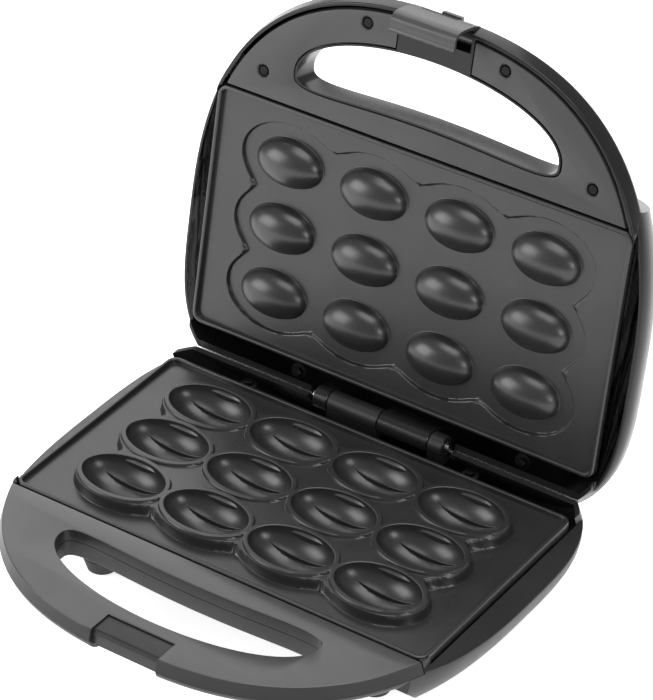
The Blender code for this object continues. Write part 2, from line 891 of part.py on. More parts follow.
def bowl(name, centre, half_x, half_y, rim_z, depth, top_z, count=20, steps=3):
    """Solid from the height top_z, at or over its oval rim, down through the rim to a tip."""
    x, y = centre
    rings = []
    if top_z > rim_z:
        rings.append(at_height(ellipse(x, y, half_x, half_y, count), top_z))
    for k in range(steps):
        angle = k * pi / 2 / steps
        oval = ellipse(x, y, half_x * cos(angle), half_y * cos(angle), count)
        rings.append(at_height(oval, rim_z - depth * sin(angle)))
    rings.append([(x, y, rim_z - depth)])
    return loft(name, rings)


def make_plate_tray(name, sign):
    """Rounded tray with a raised lip, its rear screw lugs and its front tongues."""
    outline = rounded_rectangle(plate_half_x, plate_half_y, plate_corner)
    lows = sorted((sign * parting_gap, sign * underside))
    tray = prism(name, outline, *lows)
    inside = rounded_rectangle(
        plate_half_x - lip_width, plate_half_y - lip_width, plate_corner - lip_width
    )
    space = sorted((-sign * overrun, sign * lip_height))
    cut(tray, prism("inside", inside, *space))
    for place in lug_places:
        x = sign * place
        low = (x - lug_half_width, plate_half_y - lip_width / 2, lug_drop - lug_sink)
        high = (x + lug_half_width, plate_half_y + lug_length, lug_drop + lug_thickness - lug_sink)
        join(tray, half_box("lug", low, high, sign))
        cut_screw_seat(tray, x, lug_hole_y, sign * (lug_drop - lug_sink), sign)
    for x in (-tongue_x, tongue_x):
        low = (x - tongue_half_width, -plate_half_y - tongue_length, tongue_drop)
        high = (x + tongue_half_width, -plate_half_y + lip_width / 2, underside)
        join(tray, half_box("tongue", low, high, sign))
    return tray


def make_lower_plate():
    plate = make_plate_tray("lower_plate", -1)
    island_foot = -lip_height - plate_floor / 2
    join(plate, prism("island", lobed_outline(island_reach), island_foot, island_rise))
    for centre in cup_places:
        rim = ellipse(*centre, rim_half_x, rim_half_y, 20)
        join(plate, prism("rim", rim, island_foot, rim_rise))
        outer_x = cup_half_x + cup_wall
        outer_y = cup_half_y + cup_wall
        top = rim_rise - cup_wall / 5
        join(plate, bowl("cup", centre, outer_x, outer_y, top, cup_depth + cup_wall, top, 12, 2))
    for centre in cup_places:
        space = bowl(
            "space", centre, cup_half_x, cup_half_y, rim_rise, cup_depth, rim_rise + overrun
        )
        cut(plate, space)
        for side in (-1, 1):
            join(plate, make_fin(centre, side))
    return plate


def cup_drop(x, y):
    """Depth of the cup under its rim at a place measured from its centre."""
    return cup_depth * sqrt(max(0, 1 - (x / cup_half_x) ** 2 - (y / cup_half_y) ** 2))


def make_fin(centre, side, steps=3):
    """Thin upright rib along the cup, highest in its middle and rooted in the cup's wall."""
    y = side * fin_offset
    top = []
    root = []
    for k in range(steps + 1):
        share = 2 * k / steps - 1
        x = share * fin_half_length
        surface = rim_rise - cup_drop(x, y)
        top.append((centre[0] + x, surface + fin_height * (1 - share ** 2) - cup_wall / 10))
        root.append((centre[0] + x, surface - cup_wall / 3))
    profile = top + root[::-1]
    rings = []
    for edge in (-fin_thickness / 2, fin_thickness / 2):
        rings.append([(x, centre[1] + y + edge, z) for x, z in profile])
    return loft("fin", rings)


def make_upper_plate():
    plate = make_plate_tray("upper_plate", 1)
    around = lobed_outline(island_reach + recess_reach + recess_wall)
    join(plate, prism("back", around, underside - plate_floor / 2, recess_level + recess_back))
    cut(plate, prism("recess", lobed_outline(island_reach + recess_reach), 0, recess_level))
    for centre in cup_places:
        root = recess_level + recess_back / 2
        bump = bowl("bump", centre, bump_half_x, bump_half_y, recess_level, bump_height, root, 18)
        join(plate, bump)
    return plate


def make_pan(name, sign, end_places):
    """Folded sheet tray that reflects the heat and carries the plate on its rim."""
    outline = rounded_rectangle(pan_half_x, pan_half_y, pan_corner)
    rim = underside + contact_gap
    lows = sorted((sign * rim, sign * pan_floor_drop))
    pan = prism(name, outline, *lows)
    inside = rounded_rectangle(pan_half_x - pan_sheet, pan_half_y - pan_sheet, pan_corner - pan_sheet)
    space = sorted((sign * (rim - overrun), sign * (pan_floor_drop - pan_sheet)))
    cut(pan, prism("inside", inside, *space))
    for x, y in end_places:
        low = pan_floor_drop - overrun
        high = pan_floor_drop + overrun
        cut(pan, half_cylinder("end_hole", x, y, low, high, pan_hole_radius, sign, 16))
    return pan


def heater_path(half_x, half_y, height, sign, steps=3):
    """Loop round the plate with its two ends turned away through the pan."""
    points = [(heater_end_x, half_y, sign * (height + heater_tail))]
    points.append((heater_end_x, half_y, sign * (height + heater_bend)))
    for k in range(1, steps):
        angle = k * pi / 2 / steps
        x = heater_end_x + heater_bend * (1 - cos(angle))
        points.append((x, half_y, sign * (height + heater_bend * (1 - sin(angle)))))
    for corner_y, start in ((half_y, pi / 2), (-half_y, 0)):
        centre_x = half_x - heater_corner
        centre_y = corner_y - heater_corner if corner_y > 0 else corner_y + heater_corner
        for k in range(steps + 1):
            angle = start - k * pi / 2 / steps
            x = centre_x + heater_corner * cos(angle)
            points.append((x, centre_y + heater_corner * sin(angle), sign * height))
    mirrored = [(-x, y, z) for x, y, z in reversed(points)]
    return points + mirrored


def make_heater(name, half_x, half_y, height, sign):
    path = heater_path(half_x, half_y, height, sign)
    data = bpy.data.curves.new(name, "CURVE")
    data.dimensions = "3D"
    data.bevel_depth = heater_radius
    data.bevel_resolution = 2
    data.use_fill_caps = True
    line = data.splines.new("POLY")
    line.points.add(len(path) - 1)
    for point, place in zip(line.points, path):
        point.co = (*place, 1)
    return add_object(name, data)


def make_thermostat(sign):
    """Snap disc with a mounting strap, under the middle of the pan."""
    face = pan_floor_drop + contact_gap
    body = half_cylinder("thermostat", 0, 0, face, face + thermostat_height, thermostat_radius,
                         sign, 24)
    low = (-thermostat_tab_half_x, -thermostat_tab_half_y, face)
    high = (thermostat_tab_half_x, thermostat_tab_half_y, face + thermostat_tab_height)
    join(body, half_box("strap", low, high, sign))
    for side in (-1, 1):
        x = side * thermostat_radius / 2
        low = (x - thermostat_tab_height / 2, -thermostat_tab_half_y / 2, face)
        high = (
            x + thermostat_tab_height / 2,
            thermostat_tab_half_y / 2,
            face + thermostat_height + thermostat_tab_half_y,
        )
        join(body, half_box("blade", low, high, sign))
    return body


def make_fuse(sign):
    """Thermal cut-out lying against the pan."""
    z = sign * (pan_floor_drop + contact_gap + fuse_radius)
    fuse = rod("thermal_fuse", -fuse_half_length, fuse_half_length, fuse_y, z, fuse_radius, 16)
    lead_half = fuse_half_length * 2
    join(fuse, rod("lead", -lead_half, lead_half, fuse_y, z, fuse_radius / 4, 12))
    return fuse


def make_terminal_block():
    floor = -(lower_depth - housing_wall - contact_gap)
    low = (bush_x - block_half_x, block_y - block_half_y, floor)
    high = (bush_x + block_half_x, block_y + block_half_y, floor + block_height)
    block = box("terminal_block", low, high)
    for side in (-1, 1):
        x = bush_x + side * block_half_x / 3
        low = (x - block_slot / 2, block_y - block_half_y - overrun, floor + block_height / 2)
        high = (x + block_slot / 2, block_y + block_half_y + overrun, floor + block_height * 2)
        cut(block, box("slot", low, high))
    return block


def make_foot(name, x, y):
    """Tapered rubber foot with a peg in the housing's floor."""
    top = -lower_depth - contact_gap
    foot = cone(name, x, y, top - foot_height, top, foot_bottom_radius, foot_top_radius, 24)
    peg_top = top + foot_peg_length
    join(foot, cylinder("peg", x, y, top - foot_height / 4, peg_top, foot_peg_radius, 12))
    return foot


def make_hinge_pin():
    end = barrel_half_length + pin_overhang
    pin = rod("hinge_pin", -end, end, hinge_y, 0, pin_radius, 16)
    head = barrel_half_length + contact_gap
    join(pin, rod("head", -head - pin_head_length, -head, hinge_y, 0, pin_head_radius, 16))
    return pin


def make_hinge_clip():
    """Spring washer on the pin's free end."""
    start = barrel_half_length + contact_gap
    clip = rod("hinge_clip", start, start + pin_head_length / 2, hinge_y, 0, pin_head_radius, 16)
    cut(clip, rod("bore", start - overrun, start + overrun, hinge_y, 0, pin_radius + contact_gap, 16))
    return clip


def make_latch():
    """Clip on its pin: an eye, a curved outer plate and a lip turned in under the ledge."""
    pin_y = -latch_pin_y
    outer = [
        (-latch_outer_y + latch_thickness, latch_top),
        (-latch_outer_y + latch_thickness / 3, latch_top),
        (-latch_outer_y, latch_pin_z),
        (-latch_outer_y, -latch_lip_drop / 3),
        (-latch_outer_y + latch_thickness / 3, -latch_lip_drop * 2 / 3),
        (-latch_outer_y + latch_thickness, -latch_lip_drop + latch_thickness),
        (-latch_outer_y + latch_lip_reach, -latch_lip_drop - latch_thickness),
    ]
    inner = [
        (-latch_outer_y + latch_lip_reach, -latch_lip_drop),
        (-latch_outer_y + latch_thickness * 2, -latch_lip_drop + latch_thickness),
        (-latch_outer_y + latch_thickness * 4 / 3, -latch_lip_drop * 2 / 3),
        (-latch_outer_y + latch_thickness, -latch_lip_drop / 3),
        (-latch_outer_y + latch_thickness, latch_pin_z),
    ]
    wide = latch_half_width
    latch = side_prism("latch", outer + inner, -wide, wide)
    join(latch, rod("eye", -wide, wide, pin_y, latch_pin_z, latch_eye_radius))
    web = [
        (-latch_outer_y + latch_thickness / 2, latch_pin_z - latch_thickness / 2),
        (pin_y, latch_pin_z - latch_thickness / 2),
        (pin_y, latch_pin_z + latch_thickness / 2),
        (-latch_outer_y + latch_thickness / 2, latch_pin_z + latch_thickness / 2),
    ]
    join(latch, side_prism("web", web, -wide, wide))
    bore = latch_pin_radius + running_gap
    cut(latch, rod("bore", -wide - overrun, wide + overrun, pin_y, latch_pin_z, bore, 16))
    return latch


def make_latch_pin():
    end = latch_recess_half + housing_wall
    return rod("latch_pin", -end, end, -latch_pin_y, latch_pin_z, latch_pin_radius, 16)


def make_lens(name, x):
    """Domed lens whose flange rests on the lid."""
    face = upper_depth + contact_gap
    low = upper_depth - housing_wall - lens_rise
    levels = (
        (lens_radius, low),
        (lens_radius, face),
        (lens_flange_radius, face),
        (lens_flange_radius, face + lens_flange_height / 2),
        (lens_radius, face + lens_flange_height),
        (lens_radius / 2, face + lens_flange_height + lens_rise),
    )
    return loft(name, [at_height(ellipse(x, -lamp_y, radius, radius, 20), z) for radius, z in levels])


def make_lamp_board():
    """Small board with the two indicator lamps under their lenses."""
    low = (-lamp_board_half_x, -lamp_y - lamp_board_half_y, lamp_board_top - lamp_board_height)
    high = (lamp_board_half_x, -lamp_y + lamp_board_half_y, lamp_board_top)
    board = box("lamp_board", low, high)
    for x in (-lamp_x, lamp_x):
        base = lamp_board_top - lamp_board_height / 2
        tip = lamp_board_top + lamp_bulb_height
        join(board, cylinder("bulb", x, -lamp_y, base, tip, lamp_bulb_radius, 16))
    return board


def finish(target, colour, parent, origin=(0, 0, 0)):
    """Give a piece its material and hang it on its frame, at the frame's place in the drawing."""
    target.data.materials.clear()
    target.data.materials.append(colour)
    target.data.transform(Matrix.Translation(-Vector(origin)))
    if target.type == "MESH":
        target.data.shade_smooth()
        target.data.set_sharp_from_angle(angle=smooth_angle)
    target.parent = parent


def make_frames():
    base = add_object("base", None)
    base.location = (0, 0, stand_height)
    lid = add_object("lid_hinge", None)
    lid.parent = base
    lid.location = (0, hinge_y, 0)
    lid.rotation_euler = (-open_angle, 0, 0)
    latch = add_object("latch_pivot", None)
    latch.parent = lid
    latch.location = (0, -latch_pin_y - hinge_y, latch_pin_z)
    return base, lid, latch


def centre_on_ground(base):
    """Move the whole to stand on z = 0 with its bounding box centred on x = y = 0."""
    bpy.context.view_layer.update()
    graph = bpy.context.evaluated_depsgraph_get()
    corners = []
    for piece in bpy.context.scene.objects:
        if piece.type != "EMPTY":
            evaluated = piece.evaluated_get(graph)
            shape = evaluated.to_mesh()
            corners += [piece.matrix_world @ vert.co for vert in shape.vertices]
            evaluated.to_mesh_clear()
    ys = [corner.y for corner in corners]
    base.location.y = -(min(ys) + max(ys)) / 2


def build():
    clear_scene()
    shell_grey = material("housing_plastic", (0.045, 0.045, 0.047), 0.42)
    cover_grey = material("cover_plastic", (0.10, 0.10, 0.102), 0.45)
    lid_black = material("lid_plastic", (0.012, 0.012, 0.013), 0.25)
    coating = material("nonstick_coating", (0.030, 0.030, 0.031), 0.38, 0.3)
    steel = material("bright_steel", (0.55, 0.55, 0.56), 0.30, 1.0)
    dark_steel = material("dark_steel", (0.05, 0.05, 0.05), 0.40, 0.9)
    sheet = material("aluminised_sheet", (0.60, 0.60, 0.60), 0.35, 1.0)
    sheath = material("heater_sheath", (0.25, 0.24, 0.23), 0.50, 0.8)
    rubber = material("rubber", (0.02, 0.02, 0.02), 0.85)
    ceramic = material("ceramic", (0.75, 0.73, 0.70), 0.60)
    red_lens = material("red_lens", (0.50, 0.02, 0.02), 0.15)
    green_lens = material("green_lens", (0.02, 0.35, 0.06), 0.15)
    board = material("lamp_board", (0.35, 0.30, 0.20), 0.60)

    base, lid, latch_frame = make_frames()
    in_lid = (0, hinge_y, 0)
    in_latch = (0, -latch_pin_y, latch_pin_z)

    finish(make_lower_housing(), shell_grey, base)
    finish(make_lower_cover(), cover_grey, base)
    finish(make_lower_plate(), coating, base)
    ends = [(-heater_end_x, lower_heater_y), (heater_end_x, lower_heater_y)]
    finish(make_pan("lower_reflector", -1, ends), sheet, base)
    height = underside + contact_gap + heater_radius
    finish(make_heater("lower_heater", lower_heater_x, lower_heater_y, height, -1), sheath, base)
    finish(make_fuse(-1), steel, base)
    finish(make_terminal_block(), ceramic, base)
    finish(make_cord_bush(), rubber, base)
    finish(make_hinge_pin(), steel, base)
    finish(make_hinge_clip(), steel, base)
    for k, (x, y) in enumerate(foot_places):
        finish(make_foot(f"foot_{k + 1}", x, y), rubber, base)
    for k, (x, y) in enumerate(screw_places):
        screw = make_screw(f"lower_cover_screw_{k + 1}", x, y, -handle_depth, 1)
        finish(screw, dark_steel, base)
        screw = make_screw(f"upper_cover_screw_{k + 1}", x, y, parting_gap, 1)
        finish(screw, dark_steel, lid, in_lid)
    for k, place in enumerate(lug_places):
        face = lug_drop - lug_sink
        screw = make_screw(f"lower_plate_screw_{k + 1}", -place, lug_hole_y, -face, -1)
        finish(screw, dark_steel, base)
        screw = make_screw(f"upper_plate_screw_{k + 1}", place, lug_hole_y, face, 1)
        finish(screw, dark_steel, lid, in_lid)

    finish(make_upper_housing(), lid_black, lid, in_lid)
    finish(make_upper_cover(), cover_grey, lid, in_lid)
    finish(make_upper_plate(), coating, lid, in_lid)
    ends = [(-heater_end_x, upper_heater_y), (heater_end_x, upper_heater_y)]
    finish(make_pan("upper_reflector", 1, ends), sheet, lid, in_lid)
    height = recess_level + recess_back + contact_gap + heater_radius
    finish(make_heater("upper_heater", upper_heater_x, upper_heater_y, height, 1), sheath, lid, in_lid)
    finish(make_thermostat(1), ceramic, lid, in_lid)
    finish(make_lamp_board(), board, lid, in_lid)
    finish(make_lens("power_lens", -lamp_x), red_lens, lid, in_lid)
    finish(make_lens("ready_lens", lamp_x), green_lens, lid, in_lid)
    finish(make_latch_pin(), steel, lid, in_lid)
    finish(make_latch(), lid_black, latch_frame, in_latch)
    centre_on_ground(base)


build()
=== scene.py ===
"""Looks of the walnut cookie maker: fine shells, cast plates and finishes around its frame.

Pieces are drawn shut, in metres, with the parting plane at z = 0 and the plates centred on
x = y = 0, and are then set down on the base or turned up into the open lid.
"""
import bpy
import bmesh
import json
import numpy as np
from math import asin, atan2, cos, hypot, pi, radians, sin, sqrt
from mathutils import Matrix, Vector


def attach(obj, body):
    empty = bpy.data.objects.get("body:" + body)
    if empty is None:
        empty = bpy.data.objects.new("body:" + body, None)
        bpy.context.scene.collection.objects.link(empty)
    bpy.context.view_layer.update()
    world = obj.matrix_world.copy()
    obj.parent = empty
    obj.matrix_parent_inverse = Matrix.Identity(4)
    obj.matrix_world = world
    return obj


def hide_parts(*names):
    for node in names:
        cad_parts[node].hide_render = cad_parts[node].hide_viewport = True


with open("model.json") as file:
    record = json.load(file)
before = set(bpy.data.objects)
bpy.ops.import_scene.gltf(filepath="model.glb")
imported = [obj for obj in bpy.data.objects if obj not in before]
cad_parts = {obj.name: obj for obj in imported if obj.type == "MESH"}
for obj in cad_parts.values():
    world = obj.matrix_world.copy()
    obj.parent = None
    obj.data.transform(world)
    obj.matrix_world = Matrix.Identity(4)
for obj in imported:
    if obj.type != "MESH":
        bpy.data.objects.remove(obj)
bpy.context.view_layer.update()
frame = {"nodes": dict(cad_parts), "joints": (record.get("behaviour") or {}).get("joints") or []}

# Frame
hinge = Vector(next(j for j in frame["joints"] if j["name"] == "lid_hinge")["pos_m"])
open_angle = radians(102)
hinge_y = 0.07
to_base = Matrix.Translation(hinge - Vector((0, hinge_y, 0)))
to_lid = (
    Matrix.Translation(hinge)
    @ Matrix.Rotation(-open_angle, 4, "X")
    @ Matrix.Translation(Vector((0, -hinge_y, 0)))
)

# Camera, as the photograph was taken
view_azimuth = radians(34.65)
view_elevation = radians(35.08)
view_roll = radians(0.16)
view_distance = 1.6965
view_target = Vector((-0.0218, 0.0526, 0.0792))
view_lens = 211.8

# Plates
plate_x = 0.1075
plate_y = 0.0585
plate_corner = 0.005
lip_width = 0.0022
lip_height = 0.0025
plate_sheet = 0.0025
plate_depth = 0.005
rays = 26
columns = 4
rows = 3
pitch_x = 0.0447
pitch_y = 0.032
cup_x = 0.0206
cup_y = 0.0132
cup_depth = 0.012
rim_x = 0.0228
rim_y = 0.0157
rim_top = 0.0036
rim_shoulder = 0.0003
rim_slope = 6
rim_blend = 0.0009
rim_root_blend = 0.0004
island_top = 0.0024
island_reach = 0.0012
island_slope = 7
island_top_blend = 0.001
island_foot_blend = 0.0016
cup_edge_blend = 0.0006
lobe_softness = 6
past_edge_slope = 30
fin_y = 0.0057
fin_reach = 0.015
fin_rise = 0.002
rib_root = 0.0003
crescent_y = 0.01205
crescent_reach = 0.0112
crescent_drop = 0.0014
crescent_bow = 0.0006
crescent_root = 0.0006
crescent_bite = 0.00022
bump_x = 0.0173
bump_y = 0.0113
bump_height = 0.009
bump_foot_blend = 0.0007
recess_drop = 0.0042
recess_reach = 0.0024
recess_slope = 5
recess_floor_blend = 0.0012
recess_edge_blend = 0.001

# Shells
body_x = 0.118
body_centre = 0.005
front_reach = 0.1275
rear_reach = 0.085
front_power = 2.5
rear_power = 3.8
rim_draft = 0.0015
widest = 0.006
lower_depth = 0.0345
upper_depth = 0.0365
tub_draws = (0.03, 0.01)
tray_depth = 0.0145
tray_draws = (0.016, 0.016)
tray_inset = 0.00012
wall = 0.0024
spare = 0.005
gap = 0.0003
parting = 0.00015
tub_front = 0.066
tub_wall = 0.0035
lid_lean = 0.008
base_lean = 0.025
plate_gap = 0.0006
cover_rear = 0.0597
cover_skirt = 0.006
cover_seam = 0.0034
seam_width = 0.0007
opening_x = 0.0675
opening_rear = 0.0725
opening_sag = 0.005
opening_front = 0.102
opening_corner = 0.0765
opening_power = 3.5
barrel_radius = 0.0052
barrel_x = 0.0345
barrel_split = 0.027
rear_slope = radians(52)
latch_space_x = 0.0175
cover_gap_x = 0.0195
notch_x = 0.0172
notch_rear = 0.1082
notch_floor = 0.0012
notch_back = 0.1094
ledge_front = 0.1195
ledge_bottom = 0.0085
ledge_radius = 0.0022
flank_inner_drop = 0.005
flank_outer_drop = 0.0086
flank_wall = 0.003
lid_flank_drop = 0.003
opening_wall = 0.0022
opening_inset = 0.0016
opening_flare = 0.0004
opening_edge = 0.0008
panel_thickness = 0.0025
panel_round = 0.0004
skirt_wall = 0.0018
cover_round = 0.0005
cover_rear_gap = 0.0006
lid_rim_round = 0.0007
rim_round = 0.0006
barrel_room = 0.0042
barrel_gap = 0.0006
barrel_chamfer = 0.0004
knuckle_half_gap = 0.0002
arm_height = 0.0085
hinge_bore = 0.0022

# Posts, holes and fittings
pillar_x = 0.084
pillar_y = 0.036
pillar_low = 0.0173
pillar_radius = 0.004
lug_places = (-0.05, 0.07)
lug_y = 0.0655
lug_post_low = 0.0057
lug_post_radius = 0.0038
lug_pilot_depth = 0.016
pilot_radius = 0.0015
boss_radius = 0.0032
base_pilot_low = 0.0032
lid_pilot_depth = 0.0113
seat_mouth_radius = 0.0034
seat_wall_radius = 0.0029
seat_floor_radius = 0.0027
seat_step = 0.0004
seat_depth = 0.0023
shank_way_depth = 0.0135
foot_boss_height = 0.0125
foot_boss_foot_radius = 0.0092
foot_boss_root_radius = 0.011
foot_hole_depth = 0.003
foot_hole_radius = 0.0033
bush_x = -0.045
bush_z = -0.0293
bush_pad_x = 0.0086
bush_pad_z = 0.0037
bush_hole_x = 0.0063
bush_hole_z = 0.0027
bush_pad_ends = (0.0805, 0.0875)
bush_hole_ends = (0.075, 0.093)
vent_rib_half = 0.0008
vent_rib_low = 0.0046
vent_rib_high = 0.02
lens_x = 0.01
lens_y = -0.044
lens_hole_radius = 0.0043
peg_x = 0.014
peg_y = -0.04
peg_low = 0.0253
peg_radius = 0.0015

# Latch
latch_space_rear = 0.1115
latch_space_height = 0.011
latch_half = 0.0165
latch_sheet = 0.0013
latch_pin = (-0.1165, 0.006)
latch_bore = 0.0019
latch_eye_radius = 0.0032
latch_web_half = 0.0008
latch_round = 0.00025
latch_groove = ((-0.0115, -0.124, 0.003), (0.0075, -0.1221, 0.0045))
latch_tab = ((-0.003, -0.1229, 0.007), (0.007, -0.1205, 0.0092))

# Places
foot_places = [(side * x, y) for side in (-1, 1) for x, y in ((0.0727, -0.042), (0.06, 0.06))]
cover_screw_places = [
    (side * x, y) for side in (-1, 1) for x, y in ((0.0352, -0.1092), (0.085, -0.0712))
]
past_side = body_x + spare
past_front = front_reach + spare


def leave_edit():
    bpy.ops.object.mode_set(mode="OBJECT")


def deselect():
    if bpy.context.mode != "OBJECT":
        leave_edit()
    bpy.ops.object.select_all(action="DESELECT")


def pick(*pieces):
    """Select the pieces, with the first one active."""
    deselect()
    for piece in pieces:
        piece.select_set(True)
    bpy.context.view_layer.objects.active = pieces[0]


def merge(*pieces):
    """Make one mesh of the pieces, in the first one."""
    pick(*pieces)
    bpy.ops.object.join()
    return pieces[0]


def paint(piece, finish):
    piece.data.materials.clear()
    piece.data.materials.append(finish)


def edit(piece, part="all"):
    """Go into edit mode with all or nothing selected."""
    pick(piece)
    bpy.ops.object.mode_set(mode="EDIT")
    bpy.ops.mesh.select_mode(type="VERT")
    bpy.ops.mesh.select_all(action="SELECT" if part == "all" else "DESELECT")


def lay(name, points):
    """One flat face on the points of an outline."""
    deselect()
    bpy.ops.mesh.primitive_circle_add(vertices=len(points), fill_type="NGON")
    piece = bpy.context.object
    piece.name = name
    for vert, point in zip(piece.data.vertices, points):
        vert.co = point
    return piece


def draw_through(name, rings):
    """Solid through rings of equal count: the first one's face is extruded from ring to ring."""
    piece = lay(name, rings[0])
    edit(piece)
    for ring in rings[1:]:
        bpy.ops.mesh.extrude_region_move()
        shape = bmesh.from_edit_mesh(piece.data)
        face = next(f for f in shape.faces if f.select)
        for loop, point in zip(face.loops, ring):
            loop.vert.co = point
        bmesh.update_edit_mesh(piece.data)
    bpy.ops.mesh.select_all(action="SELECT")
    bpy.ops.mesh.remove_doubles(threshold=0.000001)
    bpy.ops.mesh.normals_make_consistent(inside=False)
    leave_edit()
    return piece


def level(outline, z):
    return [(x, y, z) for x, y in outline]


def block(name, low, high):
    """Box between two corners."""
    deselect()
    bpy.ops.mesh.primitive_cube_add(size=1)
    piece = bpy.context.object
    piece.name = name
    for vert in piece.data.vertices:
        vert.co = [l + (h - l) * (c + 0.5) for l, h, c in zip(low, high, vert.co)]
    return piece


def bar(name, profile, low_x, high_x):
    """Profile of (y, z) points, drawn out along X."""
    return draw_through(name, [[(x, y, z) for y, z in profile] for x in (low_x, high_x)])


def oval(centre_x, centre_y, half_x, half_y, count):
    turn = 2 * pi / count
    return [
        (centre_x + half_x * cos(turn * k), centre_y + half_y * sin(turn * k))
        for k in range(count)
    ]


def boolean(piece, tool, operation):
    pick(piece)
    change = piece.modifiers.new("shape", "BOOLEAN")
    change.solver = "MANIFOLD"
    change.operation = operation
    change.object = tool
    bpy.ops.object.modifier_apply(modifier=change.name)
    bpy.data.objects.remove(tool, do_unlink=True)


def cut(piece, *tools):
    for tool in tools:
        boolean(piece, tool, "DIFFERENCE")


def join(piece, *tools):
    for tool in tools:
        boolean(piece, tool, "UNION")


def soften(piece, width, angle):
    """Round the edges that are sharper than the angle."""
    pick(piece)
    bevel = piece.modifiers.new("edges", "BEVEL")
    bevel.width = width
    bevel.segments = 2
    bevel.limit_method = "ANGLE"
    bevel.angle_limit = radians(angle)
    bpy.ops.object.modifier_apply(modifier=bevel.name)


def set_down(piece, place, body, finish, node=None, smooth=32):
    """Put a finished piece where it belongs, give it its finish and let it ride."""
    piece.data.transform(place)
    if place.determinant() < 0:
        piece.data.flip_normals()
    pick(piece)
    bpy.ops.object.shade_smooth_by_angle(angle=radians(smooth))
    paint(piece, finish)
    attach(piece, body)
    if node:
        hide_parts(node)


# Finishes

# The part of a noise's range that its colours and gloss spread over
noise_low = 0.3
noise_high = 0.7


def fill(node, **values):
    """Set a node's inputs by their names, written with _ for a space."""
    for name, value in values.items():
        node.inputs[name.replace("_", " ")].default_value = value


def finish_nodes(name):
    made = bpy.data.materials.new(name)
    made.use_nodes = True
    tree = made.node_tree
    shader = tree.nodes["Principled BSDF"]
    coords = tree.nodes.new("ShaderNodeTexCoord")
    return made, tree, shader, coords.outputs["Object"]


def noise(tree, coords, scale, detail=2.0, roughness=0.5):
    made = tree.nodes.new("ShaderNodeTexNoise")
    fill(made, Scale=scale, Detail=detail, Roughness=roughness)
    tree.links.new(coords, made.inputs["Vector"])
    return made.outputs["Fac"]


def gloss(tree, shader, value, low, high):
    """Spread a noise over a range of roughness."""
    made = tree.nodes.new("ShaderNodeMapRange")
    fill(made, From_Min=noise_low, From_Max=noise_high, To_Min=low, To_Max=high)
    tree.links.new(value, made.inputs["Value"])
    tree.links.new(made.outputs["Result"], shader.inputs["Roughness"])


def grain(tree, shader, height, distance, strength):
    bump = tree.nodes.new("ShaderNodeBump")
    fill(bump, Distance=distance, Strength=strength)
    tree.links.new(height, bump.inputs["Height"])
    tree.links.new(bump.outputs["Normal"], shader.inputs["Normal"])


def tint(tree, shader, value, dark, light):
    ramp = tree.nodes.new("ShaderNodeValToRGB")
    ends = ((noise_low, dark), (noise_high, light))
    for element, (position, colour) in zip(ramp.color_ramp.elements, ends):
        element.position = position
        element.color = (*colour, 1)
    tree.links.new(value, ramp.inputs["Fac"])
    tree.links.new(ramp.outputs["Color"], shader.inputs["Base Color"])


def moulded(name, dark, light, rough_low, rough_high, grain_scale, grain_height, strength=0.5,
            shine=0.5):
    """Moulded plastic: fine spark-eroded grain, slow changes of shade and gloss."""
    made, tree, shader, coords = finish_nodes(name)
    fill(shader, Specular_IOR_Level=shine)
    tint(tree, shader, noise(tree, coords, 35, 4), dark, light)
    gloss(tree, shader, noise(tree, coords, 90, 3), rough_low, rough_high)
    grain(tree, shader, noise(tree, coords, grain_scale, 3, 0.6), grain_height, strength)
    return made


def coated(name, dark, light, rough_low, rough_high):
    """Non-stick coating on cast aluminium: a fine orange peel with tiny flecks."""
    made, tree, shader, coords = finish_nodes(name)
    tint(tree, shader, noise(tree, coords, 1800, 2), dark, light)
    gloss(tree, shader, noise(tree, coords, 60, 3), rough_low, rough_high)
    fill(shader, Specular_IOR_Level=0.55)
    grain(tree, shader, noise(tree, coords, 900, 3, 0.6), 0.00003, 0.4)
    return made


def metal(name, colour_dark, colour_light, rough_low, rough_high, stretch=(1, 1, 1)):
    """Rolled or drawn metal with marks along one direction."""
    made, tree, shader, coords = finish_nodes(name)
    fill(shader, Metallic=1.0)
    mapping = tree.nodes.new("ShaderNodeMapping")
    fill(mapping, Scale=stretch)
    tree.links.new(coords, mapping.inputs["Vector"])
    marks = noise(tree, mapping.outputs["Vector"], 300, 4, 0.6)
    tint(tree, shader, marks, colour_dark, colour_light)
    gloss(tree, shader, marks, rough_low, rough_high)
    grain(tree, shader, marks, 0.00002, 0.3)
    return made


cover_finish = moulded(
    "cover_grain", (0.04, 0.04, 0.041), (0.048, 0.048, 0.049), 0.2, 0.26, 2200, 0.00002, 0.25
)
base_finish = moulded(
    "base_grain", (0.012, 0.012, 0.0125), (0.016, 0.016, 0.0165), 0.34, 0.42, 1800, 0.00003, 0.5, 0.3
)
lid_finish = moulded(
    "lid_gloss", (0.0095, 0.0095, 0.01), (0.012, 0.012, 0.0125), 0.2, 0.26, 1200, 0.00001, 0.3, 0.28
)
latch_finish = moulded(
    "latch_satin", (0.036, 0.036, 0.037), (0.043, 0.043, 0.044), 0.22, 0.28, 2200, 0.00001, 0.3
)
inner_cover_finish = moulded(
    "inner_cover_grain", (0.026, 0.026, 0.027), (0.031, 0.031, 0.032), 0.36, 0.44, 2200, 0.00002, 0.4
)
plate_finish = coated("plate_coating", (0.014, 0.014, 0.0145), (0.02, 0.02, 0.0205), 0.27, 0.34)
steel_finish = metal("drawn_steel", (0.42, 0.42, 0.43), (0.55, 0.55, 0.56), 0.22, 0.36, (0.05, 1, 1))
black_finish = metal("blackened_steel", (0.012, 0.012, 0.012), (0.024, 0.024, 0.024), 0.35, 0.5)
sheet_finish = metal(
    "aluminised_sheet", (0.16, 0.16, 0.16), (0.24, 0.24, 0.235), 0.35, 0.5, (1, 0.1, 1)
)
